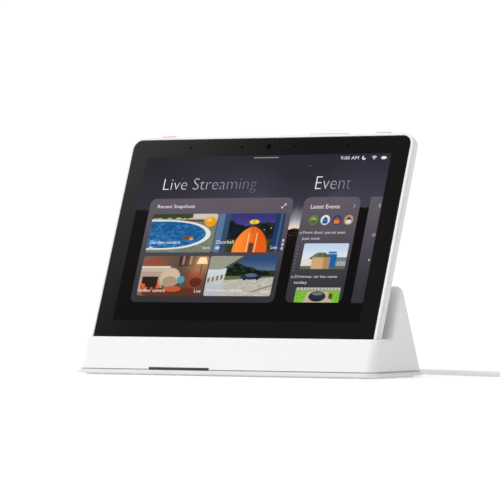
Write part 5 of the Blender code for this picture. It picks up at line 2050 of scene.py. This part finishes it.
def paint_lounge(u: Array, v: Array) -> Array:
    """A lounge with a fireplace, chairs, a lamp and a round table.

    Args:
        u: Places across, from 0 to 1.
        v: Places up, from 0 to 1.

    Returns:
        The tint at each place.
    """
    view = Painting(u, v, (122, 92, 76), (92, 70, 60), smooth(u * 1.2))
    view.box((62, 44, 40), (0.55, 0.80), (0.74, 2))
    view.lay((150, 128, 112), within(u * 9 % 1, 0.4, 0.7, 0.2) * within(u, 0.57, 0.78) * within(v, 0.78, 2))
    view.box((196, 178, 160), (-1, 0.42), (0.60, 0.74))
    view.box((224, 208, 190), (-1, 0.44), (0.70, 0.745))
    view.box((178, 156, 138), (-1, 0.36), (0.1, 0.60))
    view.box((48, 28, 24), (0.04, 0.28), (0.05, 0.48))
    flame = patches(u, v, 24, 16, 31)
    view.lay(
        (212, 96, 40), within(v, 0.05, 0.16 + 0.18 * flame) * within(u, 0.03, 0.34) * smooth(flame * 3 - 1)
    )
    for at, size in (
        ((0.10, 0.84), (0.05, 0.10)), ((0.22, 0.86), (0.06, 0.12)), ((0.33, 0.80), (0.035, 0.06))
    ):
        view.oval((150, 74, 52), at, size)
    view.oval((206, 184, 158), (0.46, 0.46), (0.15, 0.24), 0.1)
    view.oval((170, 146, 122), (0.46, 0.36), (0.11, 0.13), 0.1)
    view.oval((136, 66, 42), (0.84, 0.42), (0.13, 0.26), 0.1)
    view.oval((92, 42, 30), (0.86, 0.34), (0.09, 0.12), 0.1)
    view.oval((80, 152, 168), (0.63, 0.40), (0.06, 0.09), 0.1)
    view.oval((96, 50, 32), (0.55, 0.06), (0.46, 0.15), 0.06)
    view.oval((188, 92, 54), (0.52, 0.17), (0.14, 0.07), 0.1)
    view.lay((232, 180, 120), spot(u, v, (0.90, 0.84), (0.20, 0.30), 1.4) * 0.5)
    shade = within(v, 0.80, 0.97) * within(u, 0.82 + 0.2 * (v - 0.8), 0.99 - 0.2 * (v - 0.8))
    view.lay((255, 226, 166), shade)
    view.box((70, 44, 34), (0.90, 0.91), (0.5, 0.8))
    return view.tints


def paint_drive(u: Array, v: Array) -> Array:
    """A drive in front of a white garage, with a parked car and trees.

    Args:
        u: Places across, from 0 to 1.
        v: Places up, from 0 to 1.

    Returns:
        The tint at each place.
    """
    view = Painting(u, v, (102, 122, 148), (40, 70, 116), smooth(v * 2 - 1))
    leaf = patches(u, v, 18, 14, 41) * 0.6 + patches(u, v, 46, 34, 42) * 0.4
    crown = 0.60 + 0.26 * patches(u, v * 0, 5, 1, 44)
    view.lay(
        plain(u, (14, 24, 14), (52, 68, 40), smooth(leaf * 2 - 0.8)), within(v, -1, crown + 0.05 * leaf, 0.03)
    )
    view.lay((92, 108, 66), within(v, -1, 0.50, 0.02))
    stone = patches(u, v, 30, 50, 43)
    view.lay(plain(u, (172, 166, 154), (202, 198, 188), stone), within(v, -1, 0.47 - 0.10 * (1 - u), 0.02))
    view.lay((146, 138, 124), within(v, 0.10, 0.30) * within(v - 0.6 * u, -0.35, -0.30, 0.02))
    wall = within(u, -1, 0.28 - 0.05 * (0.7 - v)) * within(v, -1, 0.72 - 0.1 * u)
    view.lay(plain(u, (178, 184, 192), (212, 216, 220), smooth(v * 1.3)), wall)
    view.lay(
        (128, 112, 82), wall * within(u * 16 % 1, 0.3, 0.8, 0.1) * within(v, 0.32 + 0.4 * u, 0.44 + 0.4 * u)
    )
    view.lay((152, 152, 138), within(v - 1.15 * u, 0.42, 9) * within(v, 0.66, 2))
    view.lay((70, 74, 66), within(v - 1.15 * u, 0.36, 0.43) * within(v, 0.70, 2))
    view.oval((34, 44, 70), (0.66, 0.47), (0.16, 0.06), 0.1)
    view.oval((84, 100, 132), (0.66, 0.52), (0.09, 0.045), 0.1)
    view.lay((16, 20, 30), spot(u, v, (0.57, 0.42), (0.022, 0.03)) + spot(u, v, (0.76, 0.43), (0.022, 0.03)))
    return view.tints


def paint_parcel(u: Array, v: Array) -> Array:
    """A parcel and a blue crate left in front of a house.

    Args:
        u: Places across, from 0 to 1.
        v: Places up, from 0 to 1.

    Returns:
        The tint at each place.
    """
    view = Painting(u, v, (222, 226, 230), (190, 210, 232), smooth(v * 1.6 - 0.6))
    leaf = patches(u, v, 20, 16, 51)
    view.lay(
        plain(u, (58, 74, 50), (116, 130, 88), leaf),
        within(v, -1, 0.34 + 0.3 * spot(u, v * 0 + 1, (0.42, 1), (0.2, 1), 1.5), 0.04)
    )
    view.lay((222, 218, 210), within(u, -1, 0.24) * within(v, -1, 0.42 - 0.4 * np.abs(u - 0.12)))
    view.box((118, 124, 128), (0.74, 2), (-1, 0.46))
    view.lay((232, 232, 230), within(u * 30 % 1, 0.3, 0.6, 0.2) * within(u, 0.76, 2) * within(v, 0.12, 0.30))
    view.lay((94, 104, 78), within(v, -1, 0.12))
    view.box((26, 96, 160), (0.56, 0.78), (0.05, 0.58))
    view.box((46, 126, 190), (0.58, 0.76), (0.60, 0.68))
    view.box((206, 166, 122), (0.24, 0.64), (-1, 0.46))
    view.lay(
        (176, 134, 94),
        within(u, 0.50, 0.64) * within(v, -1, 0.46) + within(u, 0.24, 0.64) * within(v, 0.43, 0.47) * 0.5
    )
    return view.tints


def paint_lawn(u: Array, v: Array) -> Array:
    """A lawn with a dark car on the drive.

    Args:
        u: Places across, from 0 to 1.
        v: Places up, from 0 to 1.

    Returns:
        The tint at each place.
    """
    leaf = patches(u, v, 34, 18, 61)
    view = Painting(u, v, (96, 164, 34), (138, 200, 66), leaf)
    view.lay((150, 148, 138), within(v, 0.78, 2))
    view.lay((206, 200, 188), within(u * 13 % 1, 0.4, 0.8, 0.2) * within(v, 0.84, 2))
    view.lay((190, 176, 152), within(u, 0.30 - 0.1 * (1 - v), 0.66 + 0.2 * (1 - v)) * within(v, -1, 0.72))
    view.oval((42, 46, 52), (0.50, 0.40), (0.19, 0.34), 0.15)
    view.oval((112, 120, 130), (0.50, 0.58), (0.12, 0.10), 0.2)
    view.box((20, 22, 26), (0.40, 0.60), (0.10, 0.20))
    view.oval((92, 62, 54), (0.80, 0.42), (0.045, 0.20), 0.2)
    return view.tints


class Canvas:
    """Flat, tinted shapes just over the glass, gathered into one sheet."""

    def __init__(self) -> None:
        """Starts an empty canvas."""
        self.points: list[Point] = []
        self.faces: list[Face] = []
        self.tints: list[Array] = []

    def add(self, points: Sequence[Point], faces: Iterable[Face], tints: Array) -> None:
        """Adds points and the faces over them.

        Args:
            points: The points.
            faces: The faces.
            tints: The tint of each point, in display colour from 0 to 255.
        """
        first = len(self.points)
        self.points += [tuple(map(float, p)) for p in points]
        self.faces += [tuple(i + first for i in face) for face in faces]
        self.tints.append(np.broadcast_to(np.asarray(tints, float), (len(points), 3)))

    def panel(
        self, box: tuple[float, float, float, float], radius: float, height: float,
        paint: Callable[[Array, Array], Array], grid: tuple[int, int] = (150, 96),
    ) -> None:
        """A picture with round corners.

        Args:
            box: Left, right, bottom and top.
            radius: Radius of the corners.
            height: Height over the glass.
            paint: Gives the tint at places from 0 to 1 across and up.
            grid: Points across and up.
        """
        left, right, bottom, top = box
        wide, tall = grid
        ends = [radius * (1 - math.cos(a)) for a in np.linspace(0, math.pi / 2, 7)[:-1]]
        rows = np.unique(
            np.concatenate(
                [
                    bottom + np.array(ends), np.linspace(bottom + radius, top - radius, tall),
                    top - np.array(ends)
                ]
            )
        )
        points, us, vs = [], [], []
        for y in rows:
            short = max(0.0, radius - min(y - bottom, top - y))
            inset = radius - math.sqrt(max(radius * radius - short * short, 0.0))
            for x in np.linspace(left + inset, right - inset, wide):
                points.append((x, y, height))
                us.append((x - left) / (right - left))
                vs.append((y - bottom) / (top - bottom))
        faces = [
            (r * wide + c, r * wide + c + 1, (r + 1) * wide + c + 1, (r + 1) * wide + c)
            for r in range(len(rows) - 1) for c in range(wide - 1)
        ]
        self.add(points, faces, paint(np.array(us), np.array(vs)))

    def shape(self, outline: Outline, height: float, tint: Tint) -> None:
        """One flat shape whose outline runs anticlockwise."""
        self.add(level(outline, height), [tuple(range(len(outline)))], tint)

    def disc(self, x: float, y: float, radius: float, height: float, tint: Tint) -> None:
        """A round spot."""
        self.shape(
            [(x + radius * math.cos(a), y + radius * math.sin(a)) for a in np.linspace(0, math.tau, 29)[:-1]],
            height,
            tint
        )

    def bar(self, left: float, right: float, y: float, tall: float, height: float, tint: Tint) -> None:
        """A short line with round ends."""
        self.shape(rounded(right - left, tall, tall / 2 - 0.005, ((left + right) / 2, y), 5), height, tint)

    def words(
        self, text: str, left: float, right: float, low: float, high: float, height: float, tint: Tint,
        fade: Tint | None = None, thin: float = 0.0,
    ) -> None:
        """Adds plain words, fitted to a box.

        Args:
            text: The words.
            left: The box's left end.
            right: Its right end.
            low: Its foot.
            high: Its top.
            height: Height over the glass.
            tint: Their tint.
            fade: The tint that they fade to at their end.
            thin: How much the strokes are thinned, in parts of the letters' size.
        """
        curve = bpy.data.curves.new("words", "FONT")
        curve.body, curve.resolution_u, curve.offset = text, 3, -thin
        made = bpy.data.objects.new("words", curve)
        bpy.context.scene.collection.objects.link(made)
        mesh = bpy.data.meshes.new_from_object(made.evaluated_get(bpy.context.evaluated_depsgraph_get()))
        places = np.array([v.co[:2] for v in mesh.vertices])
        places = (places - places.min(0)) / np.ptp(places, axis=0)
        share = places[:, 0]
        points = [(left + (right - left) * x, low + (high - low) * y, height) for x, y in places]
        self.add(points, [tuple(p.vertices) for p in mesh.polygons], plain(share, tint, fade or tint, share))
        bpy.data.objects.remove(made)

    def build(self, name: str, axes: Matrix) -> Object:
        """Makes the sheet with its tints.

        Args:
            name: Its name.
            axes: The display's axes.

        Returns:
            The sheet.
        """
        made = piece(name, (self.points, self.faces), Finish.PICTURE.material, axes, sheet=True)
        shown = np.concatenate(self.tints) / 255
        light = np.where(shown <= 0.04045, shown / 12.92, ((shown + 0.055) / 1.055) ** 2.4)
        layer = made.data.attributes.new("tint", "FLOAT_COLOR", "POINT")
        layer.data.foreach_set("color", np.c_[light, np.ones(len(light))].astype(np.float32).ravel())
        return made


@dataclass
class Screen:
    """The lit picture: a dusk wallpaper, status line, headings and cards with camera views."""

    axes: Matrix
    canvas: Canvas = field(default_factory=Canvas)
    half_width: float = 86.15
    half_height: float = 53.85
    wall: float = 0.02
    card: float = 0.04
    image: float = 0.055
    ink: float = 0.07
    white: Tint = (235, 235, 240)

    def wallpaper(self) -> Object:
        """The wallpaper sheet.

        Returns:
            The sheet.
        """
        outline = rounded(2 * self.half_width, 2 * self.half_height, 0.4, steps=3)
        finish = NightSky("dusk_wallpaper").build(self.axes)
        return piece(
            "wallpaper", (level(outline, self.wall), [tuple(range(len(outline)))]), finish, self.axes,
            sheet=True
        )

    @staticmethod
    def veil(low: Tint, high: Tint) -> Callable[[Array, Array], Array]:
        """A card's see-through grey, lighter at its top.

        Args:
            low: The tint at its foot.
            high: The tint at its top.

        Returns:
            What paints it.
        """

        def paint(u: Array, v: Array) -> Array:
            """The card's tint."""
            return plain(u, low, high, smooth(v) * 0.9 + 0.1 * patches(u, v, 4, 4, 71))

        return paint

    def cards(self) -> None:
        """Adds the three cards."""
        veil = self.veil((50, 49, 54), (98, 90, 101))
        self.canvas.panel((-76.5, 25.2, -42.1, 25.9), 4.0, self.card, veil, (24, 24))
        self.canvas.panel((32.7, 71.5, -41.7, 25.9), 4.0, self.card, veil, (12, 24))
        self.canvas.panel((78.0, self.half_width, -41.9, 25.8), 0.6, self.card, veil, (6, 24))

    def views(self) -> None:
        """Adds the camera views, with a caption on each."""
        for (left, right, bottom, top), paint, label, width in (
            ((-72.8, -25.8, -9.6, 15.7), paint_pool, "Garden camera", 22.0),
            ((-25.0, 21.8, -9.6, 15.7), paint_garden, "Doorbell", 12.0),
            ((-72.8, -25.8, -37.9, -12.0), paint_lounge, "Indoor camera", 18.0),
            ((-25.0, 21.8, -37.9, -12.0), paint_drive, "Driveway camera", 25.0),
        ):
            self.canvas.panel((left, right, bottom, top), 1.5, self.image, paint)
            line = bottom + (5.6 if bottom > -20 else 2.4)
            self.canvas.words(label, left + 1.8, left + 1.8 + width, line, line + 2.2, self.ink, self.white)
            if bottom > -20:
                self.canvas.bar(left + 1.6, left + 4.6, bottom + 2.9, 1.9, self.ink, (205, 205, 210))
            self.canvas.words(
                "Live", right - 6.2, right - 1.6, bottom + 2.1, bottom + 4.1, self.ink, self.white
            )

    def status(self) -> None:
        """Adds the handle and the status line."""
        self.canvas.bar(-9.0, 8.7, 52.3, 0.8, self.card, (128, 128, 136))
        self.canvas.words("9:00 AM", 52.0, 64.4, 50.2, 52.3, self.ink, self.white)
        bow = [(68.0 + 1.35 * math.cos(a), 51.2 + 1.35 * math.sin(a)) for a in np.linspace(2.0, 6.0, 16)]
        bow += [(68.55 + 0.98 * math.cos(a), 51.75 + 0.98 * math.sin(a)) for a in np.linspace(5.7, 2.3, 12)]
        self.canvas.shape(bow, self.ink, self.white)
        for low, high in ((0.0, 0.75), (1.15, 1.6), (2.0, 2.45)):
            sweep = np.linspace(math.pi * 0.25, math.pi * 0.75, 9)
            arc = [(75.0 + high * math.cos(a), 49.9 + high * math.sin(a)) for a in sweep]
            arc += [
                (75.0 + max(low, 0.02) * math.cos(a), 49.9 + max(low, 0.02) * math.sin(a))
                for a in sweep[::-1]
            ]
            self.canvas.shape(arc, self.ink, self.white)
        self.canvas.bar(79.8, 83.1, 51.0, 1.9, self.ink, self.white)
        self.canvas.bar(83.2, 83.6, 51.0, 0.8, self.ink, self.white)

    def labels(self) -> None:
        """Adds headings, titles, round icons and lines of text."""
        dim = (150, 148, 158)
        self.canvas.words(
            "Live Streaming", -69.8, -3.2, 29.3, 39.2, self.ink, (240, 240, 244), (104, 102, 118), 0.02
        )
        self.canvas.words("Event", 38.2, 62.6, 31.1, 39.4, self.ink, (240, 240, 244), (110, 108, 124), 0.02)
        self.canvas.words("Recent Snapshots", -70.7, -43.9, 18.9, 21.9, self.ink, self.white)
        for turn in (1, -1):
            tip = [(-1.5, -1.5), (-0.2, -1.5), (-1.5, -0.2)]
            self.canvas.shape([(19.1 + turn * x, 20.4 + turn * y) for x, y in tip], self.ink, self.white)
        self.canvas.shape(
            [(18.0, 19.1), (20.4, 21.5), (20.2, 21.7), (17.8, 19.3)], self.ink - 0.004, self.white
        )
        self.canvas.words("Latest Events", 38.0, 58.0, 18.5, 21.1, self.ink, self.white)
        chevron = [(67.2, 21.6), (67.0, 21.2), (68.1, 20.0), (67.0, 18.8), (67.2, 18.4), (68.8, 20.0)]
        self.canvas.shape(chevron, self.ink, dim)
        for x, back, front, spot_tint in (
            (41.5, (84, 136, 40), (96, 92, 78), (182, 150, 110)),
            (49.7, (222, 228, 236), (40, 92, 150), (60, 56, 60)),
            (57.7, (62, 58, 128), (240, 118, 40), (130, 92, 74)),
            (65.7, (176, 146, 118), (222, 214, 204), (82, 54, 44)),
        ):
            self.canvas.disc(x, 11.1, 3.2, self.card + 0.008, back)
            self.canvas.shape(rounded(3.6, 2.4, 0.5, (x, 9.9), 4), self.image, front)
            self.canvas.shape([(x - 2.2, 11.2), (x + 2.2, 11.2), (x, 13.2)], self.image + 0.006, spot_tint)
        for text, left, right, low in (
            ("Front door: parcel seen", 36.2, 65.0, 1.7), ("just now", 36.2, 48.6, -2.2),
            ("Driveway: car has come", 36.4, 65.3, -26.6), ("today", 36.4, 45.6, -30.4),
        ):
            self.canvas.words(text, left, right, low, low + 2.3, self.ink, (214, 212, 218))
        for y in (2.7, -25.5):
            self.canvas.disc(34.6, y, 0.8, self.ink, dim)
        for y in np.arange(-6.0, -22.0, -2.2):
            self.canvas.bar(34.4, 34.8, y, 1.1, self.ink, (110, 106, 116))
        self.canvas.panel((38.7, 69.3, -20.4, -4.0), 0.8, self.image, paint_parcel, (110, 60))
        self.canvas.panel((39.0, 69.4, -41.7, -32.2), 0.6, self.image, paint_lawn, (110, 40))
        self.canvas.shape(
            [(84.6, 21.2), (84.2, 20.1), (84.6, 19.0), (85.6, 18.8), (85.6, 21.4)], self.ink, dim
        )
        self.canvas.disc(84.8, 1.3, 1.3, self.ink, (130, 126, 138))
        self.canvas.disc(84.8, -14.6, 0.7, self.ink, (170, 168, 176))
        for y in (-2.0, -4.6, -7.2):
            self.canvas.bar(23.2, 23.7, y, 1.8, self.ink, (200, 198, 205))

    def build(self) -> None:
        """Builds the picture."""
        self.cards()
        self.views()
        self.status()
        self.labels()
        settle(self.wallpaper(), "display", "lit_screen")
        settle(self.canvas.build("screen_picture", self.axes), "display", "lit_screen")


# ------------------------------------------------------------------ whole


def main() -> None:
    """Builds the studio, then the lead, the dock and the tablet."""
    logging.basicConfig(level=logging.INFO, format="%(name)s: %(message)s")
    Studio().build()
    PowerLead().build()
    axes = lean_matrix()
    Dock(axes).build()
    Tablet(axes=axes).build()
    Button(axes, "alarm_key", "alarm_button", -75.6, 11.4, 1.8, Finish.RED, "red_button").build()
    # The volume and power keys take the case white with painted shade.
    Button(
        axes, "volume_key", "volume_rocker", 38.25, 27.1, 2.0, Finish.KEY, "white_case", (-12.05, 12.05),
        mark=True
    ).build()
    Button(axes, "power_key", "power_button", 75.7, 10.8, 2.2, Finish.KEY, "white_case").build()
    Screen(axes).build()


if __name__ == "__main__":
    main()
